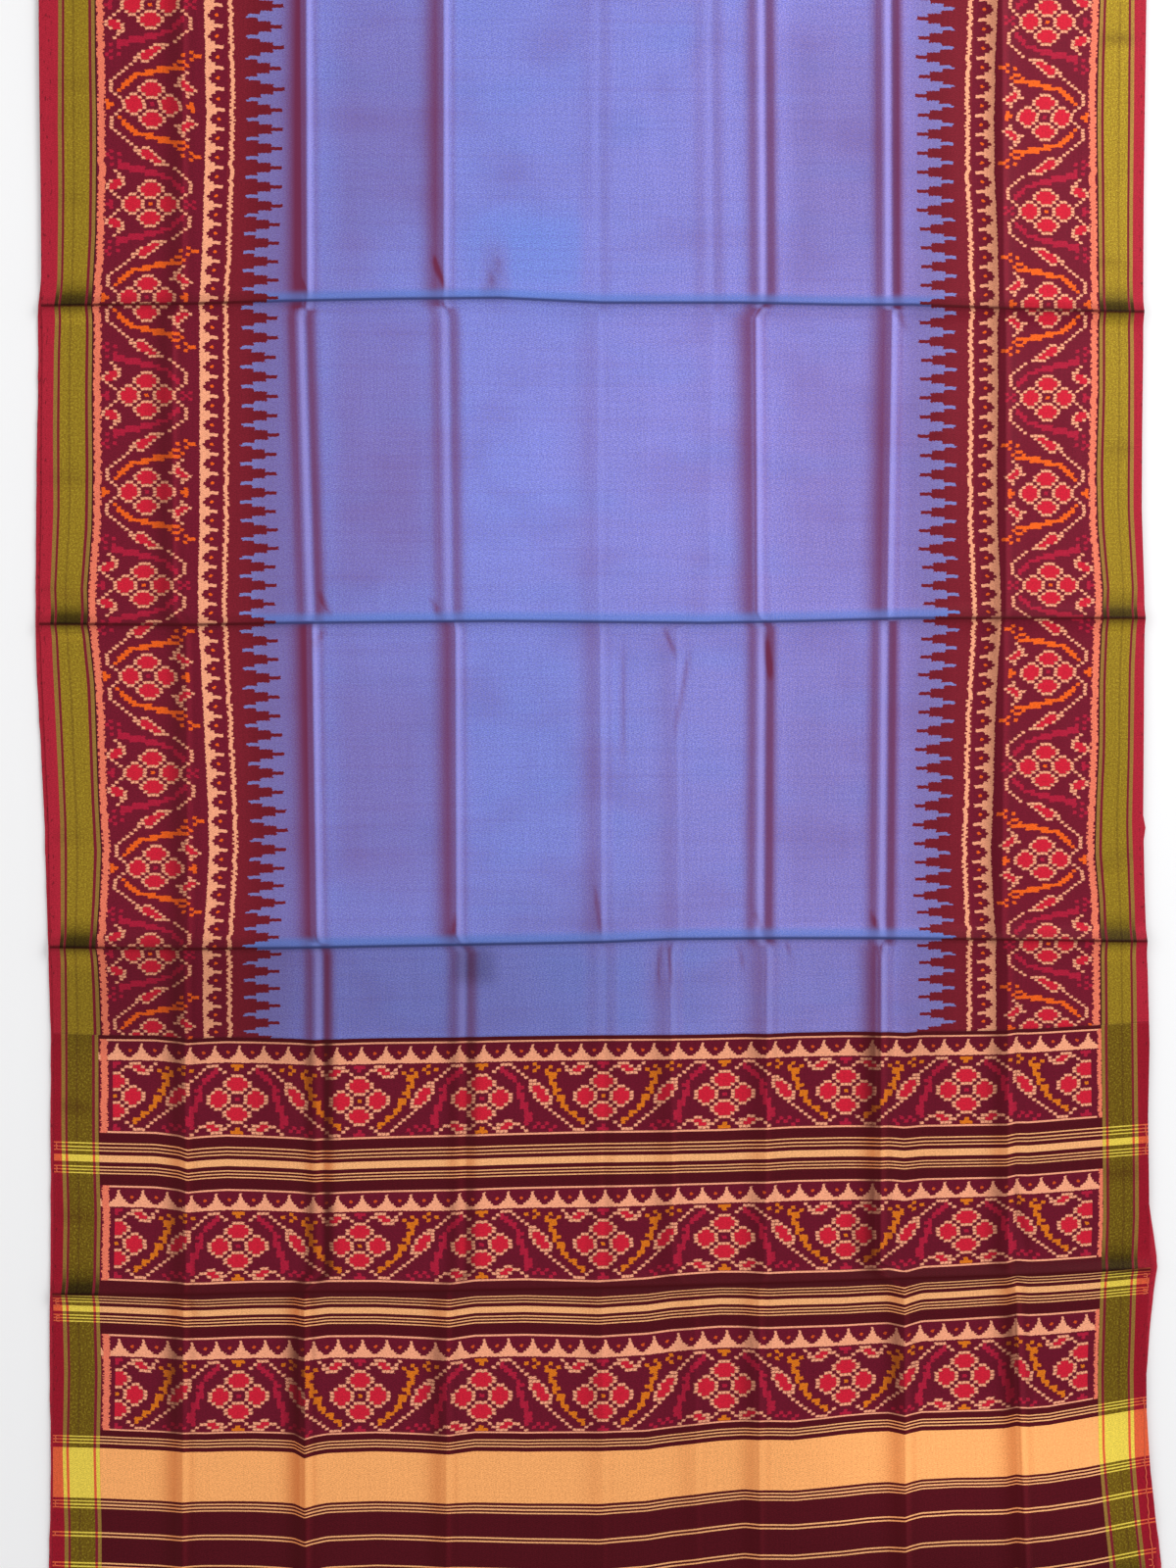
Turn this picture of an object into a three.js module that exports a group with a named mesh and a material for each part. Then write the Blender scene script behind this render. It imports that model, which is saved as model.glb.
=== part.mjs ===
// A patola saree: one woven length, folded into three runs and laid flat, face up.
// X runs across the cloth from selvedge to selvedge, Y along it, with the decorated end panel (the pallu)
// towards -Y, and Z up. The origin is at the middle of the underside.
// The top run is a wall with its storage creases standing up as ridges. The two runs below share one
// rounded solid, grooved between the layers, that lies on the surface.

import * as THREE from 'three';

// Driving sizes, in millimetres
const RUN_LENGTH = 1840;
const WALL = 1.2;
const GAP = 0.3;
const UNDER_HEIGHT = 3.0;
const UNDER_GROOVE = 2.2;
const UNDER_SETBACK = 6;
const FOLD_END = -RUN_LENGTH / 2;
const PALLU_END = FOLD_END + 7;
const SELVEDGE_WIDTH = 19;
const BORDER_WIDTH = 60;
const CROSSING_SHARE = 0.3;
const TURN_MIDDLE = 0.9;
const TURN_RADIUS = UNDER_HEIGHT + GAP - TURN_MIDDLE;
const TURN_STEPS = 4;
const TURN_START = RUN_LENGTH / 2 - TURN_RADIUS - WALL;
const ROWS_BETWEEN_FOLDS = 4;
const PALLU_START = { left: -292, right: -277 };

// Each row is a place along the run: the x of the top run's two selvedges, and how far the layers below
// reach past each of them (a negative reach lies hidden under the top run)
const outline = [
  { y: 920, left: -571, right: 561, underLeft: -4, underRight: -4 },
  { y: 770, left: -571, right: 562, underLeft: -4, underRight: -5 },
  { y: 620, left: -571, right: 557, underLeft: -3, underRight: -4 },
  { y: 485, left: -568, right: 559, underLeft: 2, underRight: -4 },
  { y: 455, left: -567, right: 559, underLeft: 6, underRight: -4 },
  { y: 370, left: -567, right: 556, underLeft: 6, underRight: -4 },
  { y: 290, left: -568, right: 554, underLeft: 7, underRight: -3 },
  { y: 135, left: -570, right: 559, underLeft: 6, underRight: -4 },
  { y: -30, left: -562, right: 556, underLeft: 6, underRight: -3 },
  { y: -74, left: -560, right: 556, underLeft: 6, underRight: 4 },
  { y: -110, left: -559, right: 558, underLeft: 6, underRight: -3 },
  { y: -280, left: -555, right: 563, underLeft: 5, underRight: -4 },
  { y: -380, left: -555, right: 559, underLeft: 5, underRight: -3 },
  { y: -450, left: -555, right: 561, underLeft: 5, underRight: 1 },
  { y: -520, left: -555, right: 563, underLeft: 5, underRight: 9 },
  { y: -580, left: -556, right: 560, underLeft: 5, underRight: 4 },
  { y: -655, left: -556, right: 558, underLeft: 5, underRight: 1 },
  { y: -730, left: -556, right: 556, underLeft: 3, underRight: 8 },
  { y: -830, left: -557, right: 562, underLeft: 5, underRight: 14 },
  { y: -920, left: -558, right: 562, underLeft: 4, underRight: 10 },
];

// Crosswise folds, far to near: y at the left and the right selvedge, the ridge's height and half width
const crossFolds = [
  { left: 795, right: 790, rise: 4.5, reach: 16 },
  { left: 462, right: 455, rise: 5.5, reach: 15 },
  { left: 133, right: 137, rise: 5.0, reach: 14 },
  { left: -196, right: -187, rise: 5.5, reach: 16 },
  { left: -550, right: -523, rise: 5.0, reach: 14 },
  { left: -872, right: -850, rise: 3.5, reach: 14 },
];

// Lengthwise folds, left to right: x in each of the five panels from far to near, the ridge's height there
// and its half width
const lengthFolds = [
  { x: [-425, -434, -419, -420, -422], rise: [2.0, 2.5, 3.0, 2.5, 2.0], reach: 22 },
  { x: [-295, -291, -290, -280, -298], rise: [6.0, 5.5, 5.0, 6.5, 5.0], reach: 12 },
  { x: [-158, -145, -146, -136, -155], rise: [3.5, 4.0, 3.0, 2.5, 3.0], reach: 26 },
  { x: [2, 0, 3, 8, 4], rise: [0.8, 1.0, 2.5, 1.2, 1.5], reach: 18 },
  { x: [116, 112, 80, 74, 100], rise: [2.0, 1.5, 1.0, 2.5, 1.5], reach: 20 },
  { x: [173, 155, 168, 154, 164], rise: [5.0, 4.0, 5.0, 4.0, 3.0], reach: 15 },
  { x: [301, 294, 298, 292, 314], rise: [5.5, 5.0, 4.5, 6.0, 4.0], reach: 13 },
  { x: [417, 420, 414, 419, 430], rise: [2.5, 4.0, 3.0, 3.5, 4.5], reach: 16 },
];
const PANEL_MIDDLES = [620, 300, -30, -366, -685];

const COLOURS = {
  body: { color: 0x8c8ad5, roughness: 0.55, metalness: 0.0 },
  pallu: { color: 0x5a1620, roughness: 0.6, metalness: 0.0 },
  under: { color: 0xa32133, roughness: 0.6, metalness: 0.0 },
};

function clothMaterial(name) {
  return new THREE.MeshStandardMaterial(COLOURS[name]);
}

// A value read off a table at a place along the run, straight between the rows, which go from far to near
function readTable(places, values, y) {
  if (y >= places[0]) return values[0];
  for (let i = 1; i < places.length; i += 1) {
    if (y >= places[i]) {
      const share = (places[i - 1] - y) / (places[i - 1] - places[i]);
      return THREE.MathUtils.lerp(values[i - 1], values[i], share);
    }
  }
  return values[values.length - 1];
}

const outlinePlaces = outline.map((row) => row.y);

function outlineAt(column, y) {
  return readTable(outlinePlaces, outline.map((row) => row[column]), y);
}

// Columns across the wall at one place along the run. Each lengthwise fold has three, at its two feet and
// its crest, and one more lies half way to the next fold.
function columnsAt(y) {
  const left = outlineAt('left', y);
  const right = outlineAt('right', y);
  const columns = [
    { x: left, rise: 0 },
    { x: left + SELVEDGE_WIDTH, rise: 0 },
    { x: left + BORDER_WIDTH, rise: 0 },
  ];
  for (const fold of lengthFolds) {
    const x = readTable(PANEL_MIDDLES, fold.x, y);
    const rise = readTable(PANEL_MIDDLES, fold.rise, y);
    const foot = x - fold.reach;
    const before = columns[columns.length - 1].x;
    columns.push({ x: (before + foot) / 2, rise: 0 });
    columns.push({ x: foot, rise: 0 });
    columns.push({ x, rise });
    columns.push({ x: x + fold.reach, rise: 0 });
  }
  columns.push({ x: right - BORDER_WIDTH, rise: 0 });
  columns.push({ x: right - SELVEDGE_WIDTH, rise: 0 });
  columns.push({ x: right, rise: 0 });
  return columns;
}

// Rows between two places along the run, both given as a y at the left and at the right selvedge. Each
// crosswise fold inside has three, and the flat stretches between the folds are split evenly.
function rowsBetween(far, near) {
  const rows = [{ ...far, rise: 0 }];
  const stretchTo = (next) => {
    const last = rows[rows.length - 1];
    const span = crossFolds[0].left - crossFolds[1].left;
    const count = Math.max(1, Math.round((ROWS_BETWEEN_FOLDS * (last.left - next.left)) / span));
    for (let i = 1; i <= count; i += 1) {
      rows.push({
        left: THREE.MathUtils.lerp(last.left, next.left, i / count),
        right: THREE.MathUtils.lerp(last.right, next.right, i / count),
        rise: 0,
      });
    }
  };
  for (const fold of crossFolds) {
    if (fold.left + fold.reach < far.left && fold.left - fold.reach > near.left) {
      stretchTo({ left: fold.left + fold.reach, right: fold.right + fold.reach });
      rows.push({ left: fold.left, right: fold.right, rise: fold.rise });
      rows.push({ left: fold.left - fold.reach, right: fold.right - fold.reach, rise: 0 });
    }
  }
  stretchTo(near);
  return rows;
}

// The underside of the top run along one row. Where two folds cross, the higher one counts with a little
// of the other.
function rowPoints(row) {
  const columns = columnsAt((row.left + row.right) / 2);
  const start = columns[0].x;
  const width = columns[columns.length - 1].x - start;
  return columns.map(({ x, rise }) => {
    const y = THREE.MathUtils.lerp(row.left, row.right, (x - start) / width);
    const high = Math.max(rise, row.rise);
    const low = Math.min(rise, row.rise);
    return new THREE.Vector3(x, y, UNDER_HEIGHT + GAP + high + CROSSING_SHARE * low);
  });
}

// The rows of the far turn, where the cloth goes down round the layers below
function turnRows() {
  const flat = columnsAt(TURN_START);
  const rows = [];
  for (let i = 0; i <= TURN_STEPS; i += 1) {
    const angle = (Math.PI / 2) * (1 - i / TURN_STEPS);
    const arc = (radius) => flat.map(({ x }) => new THREE.Vector3(
      x,
      TURN_START + radius * Math.sin(angle),
      TURN_MIDDLE + radius * Math.cos(angle),
    ));
    rows.push({ inner: arc(TURN_RADIUS), outer: arc(TURN_RADIUS + WALL) });
  }
  return rows;
}

function flatRows(rows) {
  return rows.map((row) => {
    const inner = rowPoints(row);
    return { inner, outer: inner.map((point) => point.clone().setZ(point.z + WALL)) };
  });
}

function namedMesh(name, positions, faces, material) {
  const geometry = new THREE.BufferGeometry();
  geometry.setAttribute('position', new THREE.Float32BufferAttribute(positions, 3));
  geometry.setIndex(faces);
  geometry.computeVertexNormals();
  const mesh = new THREE.Mesh(geometry, material);
  mesh.name = name;
  return mesh;
}

// A closed solid from a grid of points on its top and one on its underside, both row by row from far to
// near and from left to right
function gridSolid(name, sections, material) {
  const rowCount = sections.length;
  const columnCount = sections[0].outer.length;
  const positions = [];
  for (const side of ['outer', 'inner']) {
    for (const section of sections) {
      for (const point of section[side]) positions.push(point.x, point.y, point.z);
    }
  }
  const topAt = (row, column) => row * columnCount + column;
  const lowAt = (row, column) => (rowCount + row) * columnCount + column;
  const faces = [];
  const quad = (a, b, c, d) => faces.push(a, b, c, a, c, d);
  for (let row = 0; row + 1 < rowCount; row += 1) {
    for (let column = 0; column + 1 < columnCount; column += 1) {
      quad(topAt(row, column), topAt(row + 1, column), topAt(row + 1, column + 1), topAt(row, column + 1));
      quad(lowAt(row, column), lowAt(row, column + 1), lowAt(row + 1, column + 1), lowAt(row + 1, column));
    }
    const last = columnCount - 1;
    quad(topAt(row, 0), lowAt(row, 0), lowAt(row + 1, 0), topAt(row + 1, 0));
    quad(topAt(row, last), topAt(row + 1, last), lowAt(row + 1, last), lowAt(row, last));
  }
  for (let column = 0; column + 1 < columnCount; column += 1) {
    const end = rowCount - 1;
    quad(topAt(0, column), topAt(0, column + 1), lowAt(0, column + 1), lowAt(0, column));
    quad(topAt(end, column), lowAt(end, column), lowAt(end, column + 1), topAt(end, column + 1));
  }
  return namedMesh(name, positions, faces, material);
}

function bodyStretch() {
  const farEnd = { left: TURN_START, right: TURN_START };
  const nearEnd = { left: PALLU_START.left + GAP, right: PALLU_START.right + GAP };
  const sections = [...turnRows(), ...flatRows(rowsBetween(farEnd, nearEnd)).slice(1)];
  return gridSolid('body_stretch', sections, clothMaterial('body'));
}

function palluStretch() {
  const nearEnd = { left: PALLU_END, right: PALLU_END };
  return gridSolid('pallu_stretch', flatRows(rowsBetween(PALLU_START, nearEnd)), clothMaterial('pallu'));
}

// The side of the two layers below, from the floor up: how far each point lies inside the outline, with
// each layer's edge rounded and a groove between the two
const underSide = [
  { inset: 1.2, z: 0 },
  { inset: 0, z: 0.7 },
  { inset: 0.6, z: 1.3 },
  { inset: UNDER_GROOVE, z: 1.5 },
  { inset: 1.0, z: 1.7 },
  { inset: 0.5, z: 2.3 },
  { inset: 1.5, z: UNDER_HEIGHT },
];

// Stations along the layers below: the ends round off over a few millimetres, and the flat part follows the
// outline's own rows
function underStations() {
  const farEnd = TURN_START + TURN_RADIUS - GAP;
  const rounding = [
    { in: 0, height: 0.35 },
    { in: 0.5, height: 0.7 },
    { in: 2.0, height: 1.0 },
  ];
  const far = rounding.map((step) => ({ y: farEnd - step.in, height: step.height }));
  const near = rounding.map((step) => ({ y: FOLD_END + step.in, height: step.height })).reverse();
  const middle = outlinePlaces
    .filter((y) => y < farEnd - UNDER_SETBACK && y > FOLD_END + UNDER_SETBACK)
    .map((y) => ({ y, height: 1 }));
  return [...far, ...middle, ...near];
}

function underLayers() {
  const sections = underStations().map(({ y, height }) => {
    const left = outlineAt('left', y) - outlineAt('underLeft', y);
    const right = outlineAt('right', y) + outlineAt('underRight', y);
    const rightSide = underSide.map(({ inset, z }) => new THREE.Vector3(right - inset, y, z * height));
    const leftSide = underSide.map(({ inset, z }) => new THREE.Vector3(left + inset, y, z * height));
    return [...rightSide, ...leftSide.reverse()];
  });
  return loftSolid('under_layers', sections, clothMaterial('under'));
}

// A closed solid through a row of like outlines, each going anticlockwise as seen from the near end, with
// its two ends closed by flat faces between the outline's two halves
function loftSolid(name, sections, material) {
  const count = sections[0].length;
  const positions = sections.flat().flatMap((point) => [point.x, point.y, point.z]);
  const at = (section, index) => section * count + (index % count);
  const faces = [];
  for (let section = 0; section + 1 < sections.length; section += 1) {
    for (let index = 0; index < count; index += 1) {
      faces.push(at(section, index), at(section, index + 1), at(section + 1, index + 1));
      faces.push(at(section, index), at(section + 1, index + 1), at(section + 1, index));
    }
  }
  const last = sections.length - 1;
  for (let index = 0; index + 1 < count / 2; index += 1) {
    const across = count - 1 - index;
    faces.push(at(0, index), at(0, across), at(0, across - 1));
    faces.push(at(0, index), at(0, across - 1), at(0, index + 1));
    faces.push(at(last, index), at(last, across - 1), at(last, across));
    faces.push(at(last, index), at(last, index + 1), at(last, across - 1));
  }
  return namedMesh(name, positions, faces, material);
}

const saree = new THREE.Group();
saree.add(bodyStretch(), palluStretch(), underLayers());

export default saree;
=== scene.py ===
"""A patola saree, folded in three runs and laid flat, face up, on a plain pale floor.

X runs across the cloth from selvedge to selvedge, Y along it towards the far turn, and Z up.
Sizes in the tables are in millimetres. A place on the cloth is also given as u, the distance across it from
the left selvedge, and v, the distance along it towards the end panel (the pallu).
"""
import math

import bpy
from bpy.props import FloatProperty, FloatVectorProperty, IntProperty, PointerProperty
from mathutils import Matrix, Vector


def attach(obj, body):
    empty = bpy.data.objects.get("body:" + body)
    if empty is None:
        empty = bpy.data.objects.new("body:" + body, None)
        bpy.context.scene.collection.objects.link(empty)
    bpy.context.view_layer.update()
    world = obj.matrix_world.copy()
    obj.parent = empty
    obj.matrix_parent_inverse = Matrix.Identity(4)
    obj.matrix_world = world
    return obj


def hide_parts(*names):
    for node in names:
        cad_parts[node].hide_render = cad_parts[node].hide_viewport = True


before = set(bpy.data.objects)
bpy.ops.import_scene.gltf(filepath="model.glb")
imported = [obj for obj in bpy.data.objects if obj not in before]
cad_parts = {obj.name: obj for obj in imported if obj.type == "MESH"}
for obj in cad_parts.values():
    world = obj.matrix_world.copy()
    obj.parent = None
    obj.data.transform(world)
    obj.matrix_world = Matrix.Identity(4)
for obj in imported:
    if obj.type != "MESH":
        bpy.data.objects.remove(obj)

bl_info = {
    "name": "Patola saree",
    "version": (1, 0, 0),
    "blender": (4, 5, 0),
    "location": "View3D > Sidebar > Saree",
    "description": "Builds a folded ikat silk saree with its borders, end panel and creases",
    "category": "Object",
}

MM = 0.001

# The cloth as it lies. A place is the distance down from the far end of the view: y = ZERO_Y - place

MIDDLE_X = 610.5
ZERO_Y = 770.0
FAR_END = -149.0
PALLU_PLACE = 1056.3
CLOTH_END = 1683.0
TOP_FACE = 4.5

# The pattern's own millimetres: the whole width, then the crimson selvedge, the warps beside it, and the
# back of the side comb, each by its distance from the edge
PATTERN_WIDTH = 1136.0
CRIMSON_WIDTH = 18.5
WARPS_WIDTH = 58.2
COMB_BACK = 164.6

# place, left edge, left crimson's inner edge, right crimson's inner edge, right edge, all as x from the left
# of the view
EDGES = [
    (-160, 39.5, 59.0, 1157.5, 1172.0), (20, 39.5, 59.5, 1157.5, 1169.5), (120, 40.5, 59.0, 1157.0, 1168.0),
    (200, 41.5, 59.5, 1156.0, 1167.0), (285, 42.0, 58.5, 1155.5, 1166.5), (303, 43.0, 57.0, 1156.0, 1166.5),
    (360, 43.5, 55.0, 1157.0, 1166.5), (440, 42.5, 54.0, 1157.0, 1165.5), (520, 42.5, 54.5, 1156.5, 1165.0),
    (600, 40.5, 51.5, 1160.5, 1167.5), (640, 41.0, 52.5, 1159.5, 1168.0), (680, 42.5, 54.0, 1157.5, 1167.5),
    (760, 46.0, 58.0, 1156.5, 1167.0), (840, 50.0, 61.5, 1155.0, 1166.5), (920, 50.5, 62.0, 1157.5, 1168.0),
    (1000, 53.5, 62.0, 1159.5, 1171.0), (1080, 54.5, 62.7, 1160.5, 1173.0),
    (1160, 55.0, 62.8, 1161.5, 1171.5), (1240, 55.5, 65.0, 1162.0, 1172.5),
    (1320, 54.5, 63.5, 1159.0, 1173.0), (1400, 54.5, 65.5, 1156.5, 1169.5),
    (1480, 54.0, 64.0, 1157.5, 1170.0), (1524, 54.0, 65.0, 1161.0, 1172.5),
    (1560, 53.5, 66.0, 1164.5, 1175.0), (1600, 53.5, 66.0, 1169.0, 1179.5),
    (1700, 53.0, 66.5, 1170.0, 1180.0),
]

# How far the layers below reach: place, left edge, right edge
UNDER_EDGES = [
    (-150, 43.5, 1167.5), (0, 43.5, 1167.5), (150, 42.8, 1163.8), (285, 40.8, 1165.8), (315, 37.7, 1165.8),
    (400, 37.6, 1162.8), (480, 36.3, 1161.9), (600, 35.2, 1163.9), (635, 35.0, 1164.0), (700, 36.8, 1163.6),
    (800, 42.6, 1163.6), (828, 43.9, 1166.2), (842, 44.4, 1170.6), (858, 44.6, 1168.2), (880, 45.5, 1165.5),
    (1000, 49.0, 1168.3), (1050, 50.6, 1169.5), (1150, 50.5, 1167.3), (1220, 50.5, 1172.5),
    (1270, 50.6, 1179.6), (1291, 50.5, 1182.4), (1310, 50.3, 1179.2), (1350, 49.6, 1174.7),
    (1425, 49.6, 1169.6), (1500, 51.0, 1174.7), (1600, 48.6, 1186.6), (1690, 48.5, 1182.6),
]

# Where the border's lines lie in the body. Place, then x of the left stripe's outer edge, of the left comb's
# back, of the right comb's back and of the right stripe's outer edge
BORDER_MARKS = [
    (-160, 98.0, 208.0, 1018.0, 1121.5), (0, 98.2, 208.2, 1017.5, 1121.5),
    (60, 98.6, 209.2, 1015.3, 1119.2), (120, 99.8, 210.4, 1014.2, 1118.2),
    (180, 99.6, 208.4, 1014.6, 1119.0), (240, 98.8, 207.0, 1017.4, 1119.6),
    (300, 95.4, 204.0, 1019.0, 1120.4), (340, 96.0, 203.4, 1017.6, 1120.2),
    (400, 95.2, 203.8, 1018.2, 1120.2), (480, 96.0, 203.8, 1017.0, 1117.6),
    (540, 95.0, 203.6, 1017.6, 1119.2), (600, 90.2, 202.0, 1020.6, 1124.6),
    (640, 91.4, 202.8, 1021.0, 1123.0), (700, 98.0, 206.2, 1016.6, 1120.6),
    (760, 100.0, 209.0, 1014.4, 1120.4), (820, 102.0, 212.4, 1012.8, 1117.6),
    (870, 105.0, 213.2, 1011.0, 1116.0), (920, 102.4, 210.6, 1013.0, 1120.6),
    (960, 99.4, 207.2, 1016.0, 1122.0), (1010, 102.6, 207.0, 1016.0, 1122.4),
    (1060, 104.4, 207.4, 1017.0, 1122.8),
]

# Where every fifth tooth of the combs lies in the body: its v, then its place in the left border, at the left
# comb, at the right comb and in the right border
TOOTH_MARKS = [
    (-161.6, -154.0, -154.0, -146.0, -143.0), (0.0, 4.9, 4.6, 20.2, 22.8),
    (101.0, 106.2, 111.9, 117.9, 120.0), (202.0, 208.4, 209.9, 214.9, 216.2),
    (303.0, 303.8, 304.2, 310.7, 311.2), (404.0, 403.5, 404.3, 405.9, 406.0),
    (505.0, 502.0, 502.9, 504.2, 503.6), (606.0, 597.3, 597.3, 597.5, 597.1),
    (707.0, 689.8, 692.0, 688.2, 685.4), (808.0, 788.5, 789.4, 783.3, 781.8),
    (909.0, 886.0, 887.0, 879.4, 877.2), (1010.0, 973.2, 974.4, 963.8, 962.8),
    (1111.0, 1061.0, 1062.0, 1051.1, 1048.5),
]
TOOTH_COLUMNS = (156.0, 215.0, 1000.0, 1065.0)

# Where the wefts drift from straight: at each x, how far down they lie at the places named in the first row
DRIFT_PLACES = (0, 640, 960, 1180, 1333, 1478, 1565, 1700)
DRIFT = [
    (35, 0, 0, -1.5, -2.5, -2.5, -2, -2, -2), (110, 0, 0, 0, 0, 0, 0, 0, 0), (158, 0, 0, 0, 1, 2, 2, 2, 2),
    (183, 0, 0, 1.5, 3.8, 3, 3, 3, 3), (192, 0, 0.5, 2, 6.6, 4, 3.6, 3, 3),
    (210, 0, 0, 1.5, 5, 4, 4, 2.5, 2.5), (232, 0, 0, 1, 3.8, 3, 3.2, 2.5, 2.5),
    (260, 0, 0, 1, 4.6, 2, 3, 3, 3), (300, 0, 0, 1.5, 6.4, 1.6, 4, 5, 5),
    (311, 0, 0.5, 2, 7, 3, 9.5, 8.5, 8), (322, 0, 1, 2.5, 8, 2.5, 7, 6.5, 6),
    (335, 0, 0, 2, 7.5, 1, 5, 4, 4), (385, 0, 0, 1, 6, 1, 3, 2, 2), (460, 0, 0, 1, 4, 4, 6, 4, 4),
    (485, 0, 0, 0.5, 3.4, 0.5, 3, 4.6, 4.6), (535, 0, 0, 0, 2, -0.6, 3.5, 6, 6),
    (610, 0, 0, 0, 0, 1.6, 3, 7, 7), (660, 0, 0, 0, -0.5, -1.5, 1.6, 3, 3),
    (685, 0, 0, 0, -1, -5, -2, -1, -1), (710, 0, 0, 0, -1.5, -7, -5, -4, -4),
    (735, 0, 0, -0.5, -2, -8.6, -7.6, -7, -7), (760, 0, 0, -1, -3, -8.4, -9, -10, -10),
    (785, 0, 0.5, 0, -3.6, -7, -8.6, -8.4, -8.4), (810, 0, 0, -1, -5, -8, -8, -8, -8),
    (860, 0, 0, -2, -6, -9, -14, -12, -12), (885, 0, 0, -2, -6, -10.5, -16.4, -15, -15),
    (907, 0, 0, -1.5, -6, -11.4, -17.4, -16.5, -16.5), (923, 0, 0.5, -1, -4.6, -8.4, -14.6, -16.4, -16.4),
    (941, 0, 0, -2, -6.4, -13.4, -18, -20.4, -20), (972, 0, 0, -2, -7, -15, -18.6, -22.4, -22),
    (1010, 0, 0, -2.5, -7.5, -17.6, -19.6, -23, -23), (1026, 0, 0, -3, -8, -18.6, -20.6, -23.6, -23.6),
    (1037, 0, -1, -4, -10, -21.4, -23.6, -26.4, -26), (1050, 0, 0, -4, -10, -20, -22, -25.4, -25.4),
    (1070, 0, 0, -4.5, -11.6, -20.8, -23.6, -27, -27), (1110, 0, 0, -6, -15, -23.6, -31, -33, -33),
    (1160, 0, 0, -8, -19, -28.6, -39.4, -43, -43), (1195, 0, 0, -9, -21.5, -31.6, -44.4, -49, -49),
]

# Crosswise storage folds: height, half width, and (x, place) points along each
CROSS_FOLDS = [
    (4.0, 16, [(40, -25), (600, -23), (1170, -20)]),
    (5.4, 15, [(40, 313), (195, 311), (300, 308), (405, 306), (510, 305), (615, 310), (755, 310), (860, 312),
               (930, 312), (1035, 316), (1140, 319), (1180, 319)]),
    (4.8, 14, [(40, 637), (195, 638), (300, 636), (405, 635), (510, 634), (615, 635), (720, 636), (825, 634),
               (930, 631), (1140, 631), (1180, 631)]),
    (5.4, 15, [(40, 966), (195, 968), (300, 967), (405, 965), (510, 963), (615, 961), (685, 958), (790, 957),
               (895, 957), (1000, 958), (1140, 960), (1180, 960)]),
    (5.0, 14, [(40, 1320), (195, 1320), (300, 1317), (405, 1317), (510, 1315), (615, 1313), (720, 1310),
               (825, 1307), (930, 1303), (1035, 1300), (1140, 1295), (1180, 1294)]),
    (3.2, 14, [(40, 1642), (600, 1634), (1180, 1620)]),
]

# Lengthwise storage folds: half width, then for each of the six panels between the crosswise folds, from far
# to near: x where it starts, x where it ends, and its height where it is a ridge. Below zero it is a valley
# between two soft shoulders
LENGTH_FOLDS = [
    (14, [(188, 187, 2.0), (187, 186, 2.4), (176, 177, 2.8), (190, 192, 2.8), (189, 190, 3.0),
          (188, 186, 3.4)]),
    (15, [(312, 313, 3.4), (313, 314, 3.8), (311, 321, -3.4), (319, 324, 4.8), (329, 330, -4.0),
          (311, 313, 4.0)]),
    (17, [(452, 453, 3.0), (453, 453, 3.4), (458, 462, -2.6), (465, 466, 3.6), (476, 474, -2.8),
          (456, 455, 2.6)]),
    (15, [(612, 612, -0.5), (612, 612, -0.6), (610, 610, 0.6), (612, 614, 1.6), (618, 617, -1.0),
          (614, 616, 1.0)]),
    (15, [(728, 726, 1.0), (726, 728, -1.0), (728, 722, 0.3), (690, 692, 0.8), (684, 686, 1.6),
          (708, 712, 1.0)]),
    (13, [(780, 780, -3.0), (780, 782, -3.4), (771, 773, 3.2), (781, 779, -3.8), (783, 780, 1.8),
          (774, 776, 2.2)]),
    (12, [(909, 909, -3.4), (909, 910, -3.8), (910, 905, 3.4), (906, 903, -4.2), (899, 898, 3.6),
          (922, 925, 3.0)]),
    (13, [(1022, 1022, 2.0), (1022, 1024, 2.6), (1026, 1026, 2.8), (1024, 1022, 2.8), (1028, 1028, 2.6),
          (1036, 1050, 3.4)]),
]

# Soft patches of painted light and shade on the shot silk: x, place, half width, half length, how much
# painted shade in the red warp's colour (a painted bluer sheen where below zero), and how much lighter
# the painted light makes it (painted shade where below zero)
LIGHT_AND_SHADE_PATCHES = [
    (281, 480, 27, 640, 0.38, 0.0), (942, 480, 26, 640, 0.30, 0.0), (338, 480, 30, 500, 0.10, 0.0),
    (392, 140, 52, 150, 0.30, 0.03), (392, 470, 54, 150, 0.32, 0.09), (394, 800, 52, 140, 0.31, 0.05),
    (404, 520, 30, 60, 0.08, 0.0), (852, 150, 54, 150, 0.20, -0.06), (850, 470, 54, 150, 0.18, 0.03),
    (842, 800, 54, 150, 0.16, 0.0), (640, 470, 190, 155, 0.07, 0.11), (1010, 1500, 180, 70, 0.0, 0.22),
    (545, 256, 64, 46, -0.16, 0.03), (412, 262, 30, 40, -0.10, 0.0), (700, 60, 90, 60, -0.03, 0.0),
    (520, 500, 52, 80, -0.08, 0.0), (560, 770, 80, 130, -0.05, 0.0), (700, 860, 60, 70, 0.04, 0.0),
    (560, 925, 80, 30, 0.06, -0.06), (320, 1016, 290, 60, 0.06, -0.26), (780, 1016, 260, 60, 0.05, -0.12),
    (640, 1012, 110, 60, -0.12, -0.02), (690, 935, 60, 24, 0.10, 0.0), (484, 985, 22, 20, 0.10, -0.25),
    (505, 275, 14, 34, 0.20, -0.10),
]

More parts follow.
